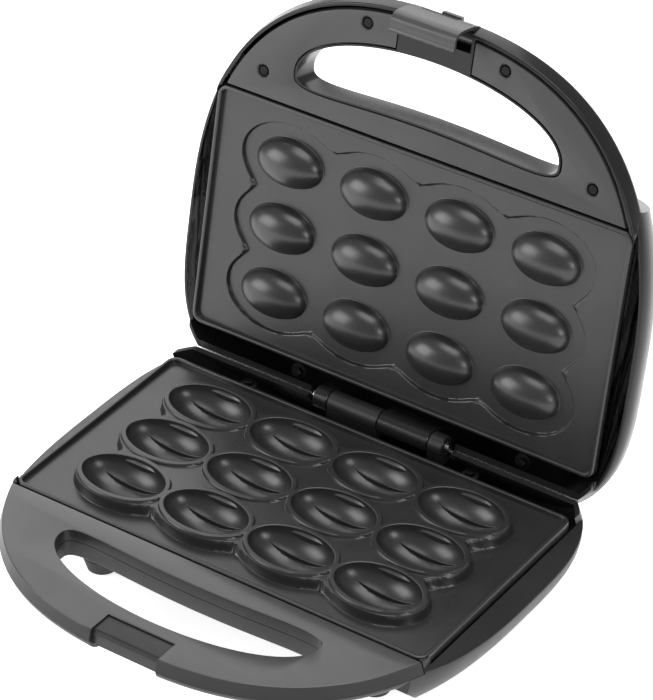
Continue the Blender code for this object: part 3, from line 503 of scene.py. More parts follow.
sheath_finish = metal("heater_sheath", (0.1, 0.095, 0.09), (0.17, 0.16, 0.15), 0.4, 0.6)
rubber_finish = moulded(
    "foot_rubber", (0.015, 0.015, 0.015), (0.022, 0.022, 0.022), 0.6, 0.75, 900, 0.00006
)
ceramic_finish = moulded(
    "ceramic_body", (0.62, 0.59, 0.55), (0.72, 0.69, 0.65), 0.5, 0.65, 700, 0.00004
)
board_finish = moulded(
    "lamp_board_laminate", (0.3, 0.24, 0.13), (0.38, 0.31, 0.18), 0.45, 0.6, 500, 0.00002
)
red_finish = moulded("red_lens", (0.42, 0.012, 0.01), (0.5, 0.018, 0.014), 0.1, 0.16, 400, 0.00001)
green_finish = moulded(
    "green_lens", (0.012, 0.26, 0.04), (0.02, 0.34, 0.06), 0.1, 0.16, 400, 0.00001
)


def dress_frame():
    """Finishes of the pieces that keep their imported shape."""
    wearing = {
        steel_finish: ["hinge_pin", "hinge_clip", "latch_pin"],
        sheet_finish: ["lower_reflector", "upper_reflector"],
        sheath_finish: ["lower_heater", "upper_heater", "thermal_fuse"],
        ceramic_finish: ["terminal_block", "thermostat"],
        board_finish: ["lamp_board"],
        rubber_finish: ["cord_bush"] + [f"foot_{k}" for k in range(1, 5)],
        black_finish: [name for name in frame["nodes"] if "_screw_" in name],
        red_finish: ["power_lens"],
        green_finish: ["ready_lens"],
        lid_finish: ["upper_housing"],
        latch_finish: ["latch"],
        inner_cover_finish: ["upper_handle_cover"],
        cover_finish: ["lower_handle_cover"],
        base_finish: ["lower_housing"],
        plate_finish: ["lower_plate", "upper_plate"],
    }
    for finish, names in wearing.items():
        for name in names:
            paint(frame["nodes"][name], finish)


dress_frame()


# Plates


def grid_places(across, along):
    """Places of a grid at the cups' pitch, centred on the plate."""
    return [
        ((column - (across - 1) / 2) * pitch_x, (row - (along - 1) / 2) * pitch_y)
        for row in range(along)
        for column in range(across)
    ]


cup_places = grid_places(columns, rows)


def soft_low(a, b, reach):
    """The lower of two heights, blended where they come within reach."""
    near = np.maximum(reach - np.abs(a - b), 0) / reach
    return np.minimum(a, b) - near * near * reach / 4


def soft_high(a, b, reach):
    return -soft_low(-a, -b, reach)


def from_oval(x, y, half_x, half_y):
    """Distance outside an oval, negative inside."""
    across = x / half_x
    along = y / half_y
    ring = np.sqrt(across ** 2 + along ** 2) + 1e-9
    slope = np.sqrt((across / half_x) ** 2 + (along / half_y) ** 2) / ring + 1e-9
    return (ring - 1) / slope


def from_lobes(x, y, reach):
    """Distance outside the scalloped outline round all the cups, negative inside."""
    total = 0
    steep = 0
    between = grid_places(columns - 1, rows - 1)
    for centre_x, centre_y in cup_places + between:
        across = (x - centre_x) / (rim_x + reach)
        along = (y - centre_y) / (rim_y + reach)
        ring = np.sqrt(across ** 2 + along ** 2) + 1e-9
        share = np.exp(-lobe_softness * (ring - 1))
        slope = np.sqrt((across / (rim_x + reach)) ** 2 + (along / (rim_y + reach)) ** 2) / ring
        total = total + share
        steep = steep + share * slope
    return -np.log(total) / lobe_softness * total / steep


def dish(x, y, half_x, half_y, level, depth):
    """Half an egg below a level, or above it where depth is negative, steep past its edge."""
    inside = np.maximum(1 - (x / half_x) ** 2 - (y / half_y) ** 2, 0)
    past = from_oval(x, y, half_x, half_y) * past_edge_slope
    return np.where(inside > 0, level - depth * np.sqrt(inside), level + np.sign(depth) * past)


def lower_height(x, y):
    """Height of the lower plate's face: floor, scalloped island, rims and cups."""
    outside = from_lobes(x, y, island_reach)
    bank = (island_top - lip_height) / 2 - outside * island_slope
    face = soft_low(bank, island_top, island_top_blend)
    face = soft_high(face, -lip_height, island_foot_blend)
    rims = -1.0
    for centre_x, centre_y in cup_places:
        outside = from_oval(x - centre_x, y - centre_y, rim_x, rim_y)
        slope = rim_top - rim_shoulder - outside * rim_slope
        rims = np.maximum(rims, soft_low(slope, rim_top, rim_blend))
    face = soft_high(face, rims, rim_root_blend)
    for centre_x, centre_y in cup_places:
        hollow = dish(x - centre_x, y - centre_y, cup_x, cup_y, rim_top, cup_depth)
        face = soft_low(face, hollow, cup_edge_blend)
    return face


def upper_height(x, y):
    """Height of the lid's plate: floor, scalloped recess and bumps."""
    inside = -from_lobes(x, y, recess_reach)
    bank = -(lip_height + recess_drop) / 2 - inside * recess_slope
    face = soft_high(bank, -recess_drop, recess_floor_blend)
    face = soft_low(face, -lip_height, recess_edge_blend)
    for centre_x, centre_y in cup_places:
        bump = dish(x - centre_x, y - centre_y, bump_x, bump_y, -recess_drop, -bump_height)
        face = soft_high(face, bump, bump_foot_blend)
    return face


def ray_reach(centre, go_x, go_y, sides):
    """How far a ray from a cup's centre goes in its cell, also in the plate's rounded corners."""
    from_x, from_y = centre
    low_x, high_x, low_y, high_y = sides
    reach = 1.0
    for go, start, low, high in ((go_x, from_x, low_x, high_x), (go_y, from_y, low_y, high_y)):
        if abs(go) > 1e-9:
            reach = min(reach, ((high if go > 0 else low) - start) / go)
    radius = plate_corner - lip_width
    corner_x = (plate_x - plate_corner) * (1 if go_x > 0 else -1)
    corner_y = (plate_y - plate_corner) * (1 if go_y > 0 else -1)
    end_x = from_x + reach * go_x
    end_y = from_y + reach * go_y
    if abs(end_x) > abs(corner_x) and abs(end_y) > abs(corner_y):
        off_x = from_x - corner_x
        off_y = from_y - corner_y
        along = off_x * go_x + off_y * go_y
        reach = -along + sqrt(max(0, along ** 2 - off_x ** 2 - off_y ** 2 + radius ** 2))
    return reach


def ray_angles():
    """Even angles, and the ones that meet the corners of the cells."""
    end_x = plate_x - lip_width - pitch_x * (columns - 1) / 2
    end_y = plate_y - lip_width - pitch_y * (rows - 1) / 2
    extra = [atan2(y, x) for x in (pitch_x / 2, end_x) for y in (pitch_y / 2, end_y)]
    radius = plate_corner - lip_width
    for k in range(1, 6):
        turn = k * pi / 12
        arc_y = end_y - radius + radius * sin(turn)
        extra.append(atan2(arc_y, end_x - radius + radius * cos(turn)))
    even = [pi / 2 * k / rays for k in range(rays + 1)]
    first = sorted({round(angle, 6) for angle in even + extra})
    angles = []
    for quarter in range(4):
        turn = quarter * pi / 2
        part = first if quarter % 2 == 0 else [pi / 2 - a for a in reversed(first)]
        angles += [turn + a for a in part[:-1]]
    return angles


def cell(name, column, row, half_x, half_y, offsets, height, angles, bowl_steps):
    """Patch of a plate's face round one cup or bump, on rings that follow its oval."""
    centre = cup_places[row * columns + column]
    sides = [
        -plate_x + lip_width if column == 0 else centre[0] - pitch_x / 2,
        plate_x - lip_width if column == columns - 1 else centre[0] + pitch_x / 2,
        -plate_y + lip_width if row == 0 else centre[1] - pitch_y / 2,
        plate_y - lip_width if row == rows - 1 else centre[1] + pitch_y / 2,
    ]
    deselect()
    ring_count = bowl_steps + 1 + len(offsets) + 1
    bpy.ops.mesh.primitive_grid_add(
        x_subdivisions=ring_count - 1, y_subdivisions=len(angles), size=1
    )
    piece = bpy.context.object
    piece.name = name
    places = []
    for k in range(len(angles) + 1):
        angle = angles[k % len(angles)]
        go_x = cos(angle)
        go_y = sin(angle)
        limit = ray_reach(centre, go_x, go_y, sides)
        shares = [sin(step * pi / 2 / bowl_steps) for step in range(bowl_steps + 1)]
        reaches = [share / hypot(go_x / half_x, go_y / half_y) for share in shares]
        for offset in offsets:
            reaches.append(1 / hypot(go_x / (half_x + offset), go_y / (half_y + offset)))
        reaches = [min(reach, limit) for reach in reaches] + [limit]
        places += [(centre[0] + r * go_x, centre[1] + r * go_y) for r in reaches]
    places = np.array(places)
    z = height(places[:, 0], places[:, 1])
    flat = np.column_stack([places, z])
    piece.data.vertices.foreach_set("co", flat.ravel())
    return piece


def cast_face(name, half_x, half_y, offsets, height, bowl_steps):
    """The whole inner face of a plate, one cell to each cup."""
    angles = ray_angles()
    cells = [
        cell(name, column, row, half_x, half_y, offsets, height, angles, bowl_steps)
        for row in range(rows)
        for column in range(columns)
    ]
    face = merge(*cells)
    edit(face)
    bpy.ops.mesh.remove_doubles(threshold=0.000002)
    bpy.ops.mesh.dissolve_degenerate(threshold=0.000002)
    bpy.ops.mesh.normals_make_consistent(inside=False)
    leave_edit()
    return face


def outward(point, half_x, half_y, radius):
    """Direction out of a rounded rectangle at a point of its outline."""
    off_x = abs(point[0]) - (half_x - radius)
    off_y = abs(point[1]) - (half_y - radius)
    side_x = 1 if point[0] > 0 else -1
    side_y = 1 if point[1] > 0 else -1
    if off_x > 0 and off_y > 0:
        length = hypot(off_x, off_y)
        return side_x * off_x / length, side_y * off_y / length
    if off_x >= radius * 0.999:
        return side_x, 0
    return 0, side_y


def pick_rim(face):
    """Select the open edges of a mesh, in edit mode."""
    edit(face, "nothing")
    bpy.ops.mesh.select_mode(type="EDGE")
    shape = bmesh.from_edit_mesh(face.data)
    for e in shape.edges:
        e.select_set(len(e.link_faces) == 1)
    bmesh.update_edit_mesh(face.data)


def add_lip(face):
    """Raised lip, side wall and underside, extruded from the edge of the inner face."""
    profile_mm = [
        (0.1, -2.3), (0.16, -1.8), (0.26, -0.7), (0.4, -0.32), (0.7, -0.17), (1.1, -0.15),
        (1.5, -0.17), (1.85, -0.28), (2.08, -0.55), (2.2, -1.00), (2.2, -4.6), (2.05, -4.9),
        (1.7, -5.0), (0.0, -5.0),
    ]
    pick_rim(face)
    half_x = plate_x - lip_width
    half_y = plate_y - lip_width
    radius = plate_corner - lip_width
    last = (0, -lip_height * 1000)
    for offset, z in profile_mm:
        bpy.ops.mesh.extrude_edges_move()
        shape = bmesh.from_edit_mesh(face.data)
        step = (offset - last[0]) / 1000
        for vert in shape.verts:
            if vert.select:
                grow = last[0] / 1000
                out_x, out_y = outward(vert.co, half_x + grow, half_y + grow, radius + grow)
                vert.co.x += out_x * step
                vert.co.y += out_y * step
                vert.co.z = z / 1000
        bmesh.update_edit_mesh(face.data)
        last = (offset, z)
    leave_edit()


def close_back(face, coarse):
    """Back of the casting: a simpler face, merged with the end of the lip along its edge."""
    merge(face, coarse)
    pick_rim(face)
    bpy.ops.mesh.remove_doubles(threshold=0.00002)
    bpy.ops.mesh.select_mode(type="FACE")
    bpy.ops.mesh.select_all(action="SELECT")
    bpy.ops.mesh.normals_make_consistent(inside=False)
    leave_edit()


def bowl_z(x, y):
    """Height of a cup's bare wall at a place measured from the cup's centre."""
    return rim_top - cup_depth * sqrt(max(0, 1 - (x / cup_x) ** 2 - (y / cup_y) ** 2))


def wall_y(x, z):
    """How far out the cup's wall is at a height."""
    return cup_y * sqrt(max(0, 1 - (x / cup_x) ** 2 - ((rim_top - z) / cup_depth) ** 2))


def fin(side, steps=18):
    """Thin upright rib along the cup, with a rounded crest and a flared foot."""
    section = (
        (-1.1, -0.45, 0), (-1.1, 0.00, 0), (-0.78, 0.12, 0.02), (-0.58, 0.34, 0.15),
        (-0.47, -0.1, 0.75), (-0.36, 0.0, 0.93), (-0.15, 0.0, 1.0), (0.15, 0.0, 1.0),
        (0.36, 0.0, 0.93), (0.47, -0.1, 0.75), (0.58, 0.34, 0.15), (0.78, 0.12, 0.02),
        (1.1, 0.00, 0), (1.1, -0.45, 0),
    )
    rings = []
    for k in range(steps + 1):
        share = 2 * k / steps - 1
        crest = fin_rise * (1 - share ** 2)
        narrow = 0.25 + 0.75 * sqrt(max(0, 1 - share ** 2))
        x = share * fin_reach
        base = bowl_z(x, fin_y)
        ring = []
        for across, lift, part in section:
            y = fin_y + across * narrow / 1000
            floor = bowl_z(x, y) + min(lift, lift * narrow) / 1000
            z = floor if part < 0.5 else max(base + crest * part + lift * narrow / 1000, floor)
            ring.append((x, side * y, z - (rib_root if part == 0 else 0)))
        rings.append(ring)
    return draw_through("fin", rings)


def crescent(side, steps=16):
    """Ledge high on the cup's long wall: a sloping top and an upright face, fading at its ends."""
    rings = []
    for k in range(steps + 1):
        share = 2 * k / steps - 1
        x = share * crescent_reach
        top = rim_top - crescent_drop
        front = crescent_y - crescent_bow * share ** 2
        foot = bowl_z(x, front) - crescent_root
        ring = []
        for z in (top, top - 0.0004, top - 0.0014, top - 0.0026, foot):
            z = max(z, foot)
            ring.append((wall_y(x, z) + crescent_bite, z))
        edge = min(front, ring[0][0] - rib_root)
        ring += [(edge, foot), (edge, top - 0.00115), (edge + 0.00008, top - 0.0009)]
        ring += [(edge + 0.00025, top - 0.00074), (ring[0][0] - 0.0002, top - 0.00005)]
        rings.append([(x, side * y, z) for y, z in ring])
    return draw_through("crescent", rings)


def add_ribs(plate):
    """Two fins and two crescents in every cup, joined to the casting."""
    models = [make(side) for side in (-1, 1) for make in (fin, crescent)]
    ribs = []
    for centre_x, centre_y in cup_places:
        for model in models:
            rib = model.copy()
            rib.data = model.data.copy()
            bpy.context.scene.collection.objects.link(rib)
            rib.data.transform(Matrix.Translation((centre_x, centre_y, 0)))
            ribs.append(rib)
    for model in models:
        bpy.data.objects.remove(model, do_unlink=True)
    join(plate, merge(*ribs))


def plate_casting(name, half_x, half_y, offsets, height, place, body, node):
    face = cast_face(name, half_x, half_y, offsets, height, 10)
    add_lip(face)

    def back_height(x, y):
        return height(x, y) - plate_sheet

    back = cast_face(name + "_back", half_x, half_y, offsets[::4], back_height, 4)
    close_back(face, back)
    if node == "lower_plate":
        add_ribs(face)
    set_down(face, place, body, plate_finish, node, 50)


rim_offsets = [k * 0.00027 for k in range(1, 27)] + [0.0085, 0.011, 0.016]
plate_casting("lower_plate_casting", cup_x, cup_y, rim_offsets, lower_height, to_base, "base",
              "lower_plate")
bump_offsets = [k * 0.0002 for k in range(1, 8)] + [0.0022, 0.0035, 0.005]
bump_offsets += [0.006 + k * 0.00025 for k in range(16)] + [0.011, 0.014, 0.02]
turn_over = Matrix.Diagonal((1, 1, -1, 1))
plate_casting("upper_plate_casting", bump_x, bump_y, bump_offsets, upper_height,
              to_lid @ turn_over, "lid", "upper_plate")


# Shells


def signed_power(value, exponent):
    return abs(value) ** exponent * (1 if value >= 0 else -1)


def body_plan(side_inset, front_inset, rear_inset, count):
    """Plan of a half: a soft arc round the handle and a squarer back."""
    points = []
    for k in range(count):
        angle = 2 * pi * k / count
        behind = sin(angle) >= 0
        exponent = 2 / (rear_power if behind else front_power)
        reach = rear_reach - rear_inset if behind else front_reach - front_inset
        x = (body_x - side_inset) * signed_power(cos(angle), exponent)
        y = body_centre + reach * signed_power(sin(angle), exponent)
        points.append((x, y))
    return points


def dome(name, depth, draws, inset, floor, sign, top, steps=12, count=144, edge=0):
    """Half's solid from the height top, round its edge and widest line, in to its floor."""
    side_pull, back_pull = draws
    rings = []
    rim_inset = inset + rim_draft
    for k in range(5 if edge else 1):
        turn = k * pi / 8
        taken = rim_inset + edge * (1 - sin(turn))
        rings.append(level(body_plan(taken, taken, taken, count), -top + edge * (1 - cos(turn))))
    height = depth - widest
    last_turn = asin((height - floor) / height)
    for k in range(steps + 1):
        turn = k * last_turn / steps
        pulled = 1 - cos(turn)
        taken = inset + side_pull * pulled
        outline = body_plan(taken, taken, inset + back_pull * pulled, count)
        rings.append(level(outline, widest + height * sin(turn)))
    return draw_through(name, [[(x, y, sign * z) for x, y, z in ring] for ring in rings])


def half_block(name, low, high, sign):
    """Box by its heights over the parting plane of the lid, mirrored for the base."""
    low_z, high_z = sorted((sign * low[2], sign * high[2]))
    return block(name, (low[0], low[1], low_z), (high[0], high[1], high_z))


def front_block(name, half, rear, low, high, sign):
    """Block across the handle, from in front of it back to the place rear."""
    return half_block(name, (-half, -past_front, low), (half, rear, high), sign)


def turned(name, x, y, stations, count):
    """Round solid on an upright axis, through its heights and radii."""
    return draw_through(name, [level(oval(x, y, r, r, count), z) for z, r in stations])


def post(name, x, y, low, high, radius, sign, count=32):
    ends = sorted((sign * low, sign * high))
    return turned(name, x, y, [(z, radius) for z in ends], count)


def rod(name, low_x, high_x, y, z, radius, count=40, chamfer=0):
    """Rod along X, with its ends chamfered if asked."""
    stations = [(low_x, radius), (high_x, radius)]
    if chamfer:
        stations = [
            (low_x, radius - chamfer),
            (low_x + chamfer, radius),
            (high_x - chamfer, radius),
            (high_x, radius - chamfer),
        ]
    rings = [[(x, a, b) for a, b in oval(y, z, r, r, count)] for x, r in stations]
    return draw_through(name, rings)


def opening_plan(grow, count=96):
    """Finger opening: a flat bow towards the plate and a round one towards the front."""
    points = []
    half = opening_x + grow
    squared = 2 / opening_power
    for k in range(count):
        angle = 2 * pi * k / count
        if sin(angle) >= 0:
            x = half * signed_power(cos(angle), squared)
            rear_line = opening_rear - grow - opening_sag * (x / half) ** 2
            y = opening_corner - (opening_corner - rear_line) * signed_power(sin(angle), squared)
        else:
            x = half * cos(angle)
            y = opening_corner - (opening_front + grow - opening_corner) * sin(angle)
        points.append((x, -y))
    return points


def opening_tool(grow, deep, face=None, way=1, edge=0):
    """Tool that cuts the finger opening, flared round its edge at the height face."""
    if face is None:
        heights = [(-deep, 0), (deep, 0)]
    else:
        heights = [(face - way * spare, edge + opening_flare)]
        for k in range(4):
            turn = k * pi / 6
            heights.append((face + way * edge * (1 - cos(turn)), edge * (1 - sin(turn))))
        heights.append((face + way * deep, 0))
    return draw_through("opening", [level(opening_plan(grow + more), z) for z, more in heights])


def cut_behind_slope(piece, sign, back_off):
    start = hinge_y - back_off / sin(rear_slope)
    profile = [
        (start, spare),
        (start, 0),
        (start + rear_reach * cos(rear_slope), -rear_reach * sin(rear_slope)),
        (start + 2 * rear_reach, -rear_reach * sin(rear_slope)),
        (start + 2 * rear_reach, spare),
    ]
    cut(piece, bar("slope", [(y, -sign * z) for y, z in profile], -past_side, past_side))


def cut_flanks(piece, sign, inner_drop, outer_drop):
    """Trim the rims beside the plate down to a slope that falls outwards."""
    inner_x = plate_x + plate_gap
    fall = (outer_drop - inner_drop) / (body_x - inner_x)
    far_drop = inner_drop + fall * (past_side - inner_x)
    corners = [(inner_x, spare), (inner_x, -inner_drop), (past_side, -far_drop), (past_side, spare)]
    for side in (-1, 1):
        rings = [
            [(side * x, y, -sign * z) for x, z in corners]
            for y in (-cover_rear, rear_reach + body_centre + spare)
        ]
        cut(piece, draw_through("flank", rings))


def cut_front_wall(piece, sign, face, depth):
    """Trim a half's tub or its space along the front wall, which leans back with depth."""
    upright = tray_depth / 2 if sign > 0 else tray_depth
    lean = lid_lean if sign > 0 else base_lean
    profile = [
        (-past_front, -spare * 2),
        (-face, -spare * 2),
        (-face, upright),
        (-face + lean, depth + spare),
        (-past_front, depth + spare),
    ]
    cut(piece, bar("front", [(y, sign * z) for y, z in profile], -past_side, past_side))


def tub_space(sign, depth):
    space = dome("space", depth, tub_draws, wall, wall, sign, spare, 6, 96)
    cut_front_wall(space, sign, tub_front - tub_wall, depth)
    cut_behind_slope(space, sign, gap + wall)
    return space


def plate_corners(sign):
    """Room for the plate's corners, which come close to the rim."""
    outline = rounded_outline(plate_x + plate_gap, plate_y + plate_gap, plate_corner)
    ends = sorted((-sign * spare, sign * (plate_depth + gap)))
    return draw_through("plate_corners", [level(outline, z) for z in ends])


def rounded_outline(half_x, half_y, radius, steps=10):
    points = []
    for corner in range(4):
        side_x = 1 if corner in (0, 3) else -1
        side_y = 1 if corner in (0, 1) else -1
        for k in range(steps + 1):
            turn = corner * pi / 2 + k * pi / 2 / steps
            x = side_x * (half_x - radius) + radius * cos(turn)
            points.append((x, side_y * (half_y - radius) + radius * sin(turn)))
    return points


def handle_space(sign):
    """Two pockets in the handle, either side of the latch and clear of the finger opening."""
    pocket = dome("pocket", tray_depth, tray_draws, wall, wall, sign, spare, 5, 96)
    deep = tray_depth + spare
    low = (-past_side, -opening_rear - opening_wall, -spare * 2)
    cut(pocket, half_block("rear", low, (past_side, rear_reach + spare * 2, deep), sign))
    cut(pocket, opening_tool(opening_wall, deep))
    cut(pocket, front_block("middle", latch_space_x + wall, 0, -spare * 2, deep, sign))
    return pocket


def shell(name, sign, depth, edge):
    """Tub and handle tray as one solid, with its sloping back."""
    made = dome(name, depth, tub_draws, 0, 0, sign, -parting, edge=edge)
    cut_front_wall(made, sign, tub_front, depth)
    tray = dome("tray", tray_depth, tray_draws, tray_inset, 0, sign, -parting, edge=edge)
    low = (-past_side, -cover_rear, -spare)
    cut(tray, half_block("rear", low, (past_side, past_front, depth + spare), sign))
    join(made, tray)
    cut_behind_slope(made, sign, gap)
    return made


def add_knuckles(made, sign):
    """This half's share of the hinge barrel, on its arms: the lid's mirrors the base's."""
    half_gap = knuckle_half_gap
    ends = ((half_gap - barrel_split, -half_gap), (barrel_split + half_gap, barrel_x))
    spans = sorted(sorted((-sign * a, -sign * b)) for a, b in ends)
    way = barrel_x + barrel_room
    cut(made, rod("way", -way, way, hinge_y, 0, barrel_radius + barrel_gap))
    for low_x, high_x in spans:
        arm_low = (low_x, hinge_y - barrel_radius + barrel_gap, gap)
        arm = half_block("arm", arm_low, (high_x, hinge_y + 2 * barrel_radius, arm_height), sign)
        cut_behind_slope(arm, sign, gap * 2)
        join(arm, rod("knuckle", low_x, high_x, hinge_y, 0, barrel_radius, 56, barrel_chamfer))
        join(made, arm)
    cut(made, rod("bore", -way, way, hinge_y, 0, hinge_bore))


def add_posts(made, sign, depth):
    """Pillars for the reflector pan and posts for the plate's rear lugs."""
    root = depth - wall / 2
    for x in (-pillar_x, pillar_x):
        for y in (-pillar_y, pillar_y):
            join(made, post("pillar", x, y, pillar_low, root, pillar_radius, sign))
    for x in lug_places:
        join(made, post("lug_post", sign * x, lug_y, lug_post_low, root, lug_post_radius, sign))
        cut(made, post("pilot", sign * x, lug_y, 0, lug_pilot_depth, pilot_radius, sign))


def cut_seat(made, x, y, face, way, steps=28):
    """Counterbore and hole for a screw driven from the height face."""
    stations = (
        (face - way * spare, seat_mouth_radius),
        (face, seat_mouth_radius),
        (face + way * seat_step, seat_wall_radius),
        (face + way * seat_depth, seat_floor_radius),
    )
    cut(made, turned("seat", x, y, stations, steps))
    cut(made, post("shank_way", x, y, face, face + way * shank_way_depth, pilot_radius, 1, 16))


def round_edges(piece, chosen, width):
    """Round the sharp edges that the test picks by their middle."""
    edit(piece, "nothing")
    bpy.ops.mesh.select_mode(type="EDGE")
    shape = bmesh.from_edit_mesh(piece.data)
    for e in shape.edges:
        sharp = len(e.link_faces) == 2 and e.calc_face_angle(0) > radians(30)
        middle = (e.verts[0].co + e.verts[1].co) / 2
        e.select_set(sharp and bool(chosen(middle)))
    bmesh.update_edit_mesh(piece.data)
    bpy.ops.mesh.bevel(offset=width, segments=3, affect="EDGES", clamp_overlap=False)
    leave_edit()


def lower_housing():
    """Base: shell with the space of its cover, notch, posts, foot holes and knuckles."""
    made = shell("lower_housing_shell", -1, lower_depth, 0)
    cut_flanks(made, -1, flank_inner_drop, flank_outer_drop)
    space = tub_space(-1, lower_depth)
    cut_flanks(space, -1, flank_inner_drop + flank_wall, flank_outer_drop + flank_wall)
    cut(made, space, plate_corners(-1))
    rear = -cover_rear + cover_rear_gap
    cut(made, front_block("cover_space", past_side, rear, -spare, cover_skirt + gap, -1))
    cut(made, handle_space(-1))
    deep = lower_depth + spare
    cut(made, opening_tool(0, deep, -tray_depth, 1, opening_edge))
    cut_notch(made, deep)
    for x, y in cover_screw_places:
        join(made, post("boss", x, y, cover_skirt + gap, tray_depth - wall / 2, boss_radius, -1))
        cut_seat(made, x, y, -tray_depth, 1)
    add_posts(made, -1, lower_depth)
    add_front_foot_bosses(made)
    add_knuckles(made, -1)
    for x, y in foot_places:
        hole_low = lower_depth - foot_hole_depth
        cut(made, post("peg_hole", x, y, hole_low, deep, foot_hole_radius, -1))
    add_bush_seat(made)
    round_edges(made, on_lower_rim, rim_round)
    set_down(made, to_base, "base", base_finish, "lower_housing")


def add_front_foot_bosses(made):
    """Tapered bosses that carry the front feet, where the front wall leans back."""
    ends = (
        (-lower_depth, foot_boss_foot_radius),
        (-lower_depth + foot_boss_height, foot_boss_root_radius),
    )
    for x, y in foot_places:
        if y < 0:
            join(made, turned("foot_boss", x, y, ends, 48))


def add_bush_seat(made):
    """Thicker pad in the back wall, with the flat oval hole of the supply's bush."""
    front, back = bush_pad_ends
    low = (bush_x - bush_pad_x, front, bush_z - bush_pad_z)
    join(made, block("pad", low, (bush_x + bush_pad_x, back, bush_z + bush_pad_z)))
    hole = oval(bush_x, bush_z, bush_hole_x, bush_hole_z, 32)
    cut(made, draw_through("bush_hole", [[(x, y, z) for x, z in hole] for y in bush_hole_ends]))


def cut_notch(made, deep):
    """Shallow step for the latch in the middle of the handle, with the ledge that it grips."""
    cut(made, front_block("under_ledge", notch_x, -notch_back, ledge_bottom, deep, -1))
    cut(made, front_block("ledge_front", notch_x, -ledge_front, 0, deep, -1))
    profile = [(-notch_rear - gap, -ledge_bottom), (-ledge_front, -ledge_bottom)]
    for k in range(9):
        turn = k * pi / 16
        y = -ledge_front + ledge_radius * (1 - cos(turn))
        profile.append((y, -notch_floor - ledge_radius + ledge_radius * sin(turn)))
    profile.append((-notch_rear - gap, -notch_floor))
    join(made, bar("ledge", profile, -notch_x + gap, notch_x - gap))


def on_lower_rim(place):
    """Outer edges of the rims beside the base's plate."""
    at_rim = -0.0105 < place.z <= -0.0035
    return at_rim and place.y >= -0.055 and abs(place.x) > plate_x + 0.004


def cover_slab(name, sign, top, low, edge_inset, opening_grow, edge):
    """Slab of the handle's plan between two heights, with the finger opening through it."""
    slab = dome(name, upper_depth, tub_draws, edge_inset, 0, sign, -top, edge=edge)
    deep = upper_depth + spare
    cut(slab, front_block("below", past_side, past_front, low, deep, sign))
    face = None
    rear = [(-cover_rear, -deep), (-cover_rear, deep), (past_front, deep), (past_front, -deep)]
    if edge:
        face = sign * top
        rear = [(-cover_rear, sign * deep)]
        for k in range(4):
            turn = pi / 2 - k * pi / 6
            y = -cover_rear - edge * (1 - sin(turn))
            rear.append((y, face + sign * edge * (1 - cos(turn))))
        rear.append((rear[-1][0], -sign * deep))
        rear += [(past_front, -sign * deep), (past_front, sign * deep)]
    cut(slab, bar("rear", rear, -past_side, past_side))
    cut(slab, opening_tool(opening_inset - opening_grow, deep, face, sign, edge))
    return slab


def lower_cover():
    """Cap of the lower handle: flat top, skirt round its edge and round the opening."""
    cover = cover_slab("lower_handle_cap", -1, parting, cover_skirt, 0, opening_inset, cover_round)
    pocket = dome("pocket", lower_depth, tub_draws, skirt_wall, 0, -1, -panel_thickness, 5, 96)
    deep = lower_depth + spare
    cut(pocket, opening_tool(skirt_wall, deep))
    half = notch_x + skirt_wall
    cut(pocket, front_block("notch_walls", half, -notch_rear + skirt_wall, -spare, deep, -1))
    cut(cover, pocket)
    cut(cover, front_block("notch", notch_x, -notch_rear, -spare, deep, -1))
    for x, y in cover_screw_places:
        join(cover, post("boss", x, y, panel_thickness / 2, cover_skirt, boss_radius, -1))
        cut(cover, post("pilot", x, y, base_pilot_low, cover_skirt + spare, pilot_radius, -1))
    limit = dome("limit", lower_depth, tub_draws, 0, 0, -1, -parting, edge=cover_round)
    boolean(cover, limit, "INTERSECT")
    round_edges(cover, on_notch_edge, cover_round)
    set_down(cover, to_base, "base", cover_finish, "lower_handle_cover")
    # Painted shade: faces of the cover that don't face up take the housing's darker finish, so its
    # sides and skirt read darker than its lighter top
    cover.data.materials.append(base_finish)
    for face in cover.data.polygons:
        face.material_index = 0 if face.normal.z > 0.5 else 1


def on_notch_edge(place):
    beside = abs(abs(place.x) - notch_x) < 0.0001 and place.y < -notch_rear + 0.0001
    behind = abs(place.x) < notch_x and abs(place.y + notch_rear) < 0.0001
    return place.z > -0.0008 and (beside or behind)


def upper_housing():
    """Lid: shell with the recess of its cover, latch space, posts and hinge knuckles."""
    made = shell("upper_housing_shell", 1, upper_depth, lid_rim_round)
    cut_flanks(made, 1, lid_flank_drop, lid_flank_drop)
    cut(made, tub_space(1, upper_depth), plate_corners(1))
    deep = upper_depth + spare
    cover_low = panel_thickness + gap
    recess = cover_slab("recess", 1, -spare, cover_low, cover_seam - seam_width, seam_width, 0)
    half = cover_gap_x - seam_width
    cut(recess, front_block("middle", half, -opening_corner, -spare * 2, cover_low + spare, 1))
    cut(made, recess)
    cut(made, handle_space(1))
    cut(made, opening_tool(0, deep, tray_depth, -1, opening_edge))
    for x, y in cover_screw_places:
        join(made, post("boss", x, y, cover_low, tray_depth - wall / 2, boss_radius, 1))
        cut(made, post("pilot", x, y, 0, lid_pilot_depth, pilot_radius, 1))
    high = latch_space_height
    cut(made, front_block("latch_space", latch_space_x, -latch_space_rear, -spare, high, 1))
    reach = latch_space_x + wall + spare / 4
    cut(made, rod("latch_pin_hole", -reach, reach, *latch_pin, latch_bore, 24))
    add_posts(made, 1, upper_depth)
    add_knuckles(made, 1)
    for side in (-1, 1):
        low_x, high_x = sorted((side * (plate_x + plate_gap), side * (body_x - 2 * wall)))
        low = (low_x, -vent_rib_half, vent_rib_low)
        join(made, half_block("vent_rib", low, (high_x, vent_rib_half, vent_rib_high), 1))
        hole_low = deep - spare * 2 - wall
        cut(made, post("lens_hole", side * lens_x, lens_y, hole_low, deep, lens_hole_radius, 1))
        peg_high = upper_depth - wall / 2
        join(made, post("peg", side * peg_x, peg_y, peg_low, peg_high, peg_radius, 1))
    round_edges(made, on_upper_rim, rim_round)
    set_down(made, to_lid, "lid", lid_finish, "upper_housing")


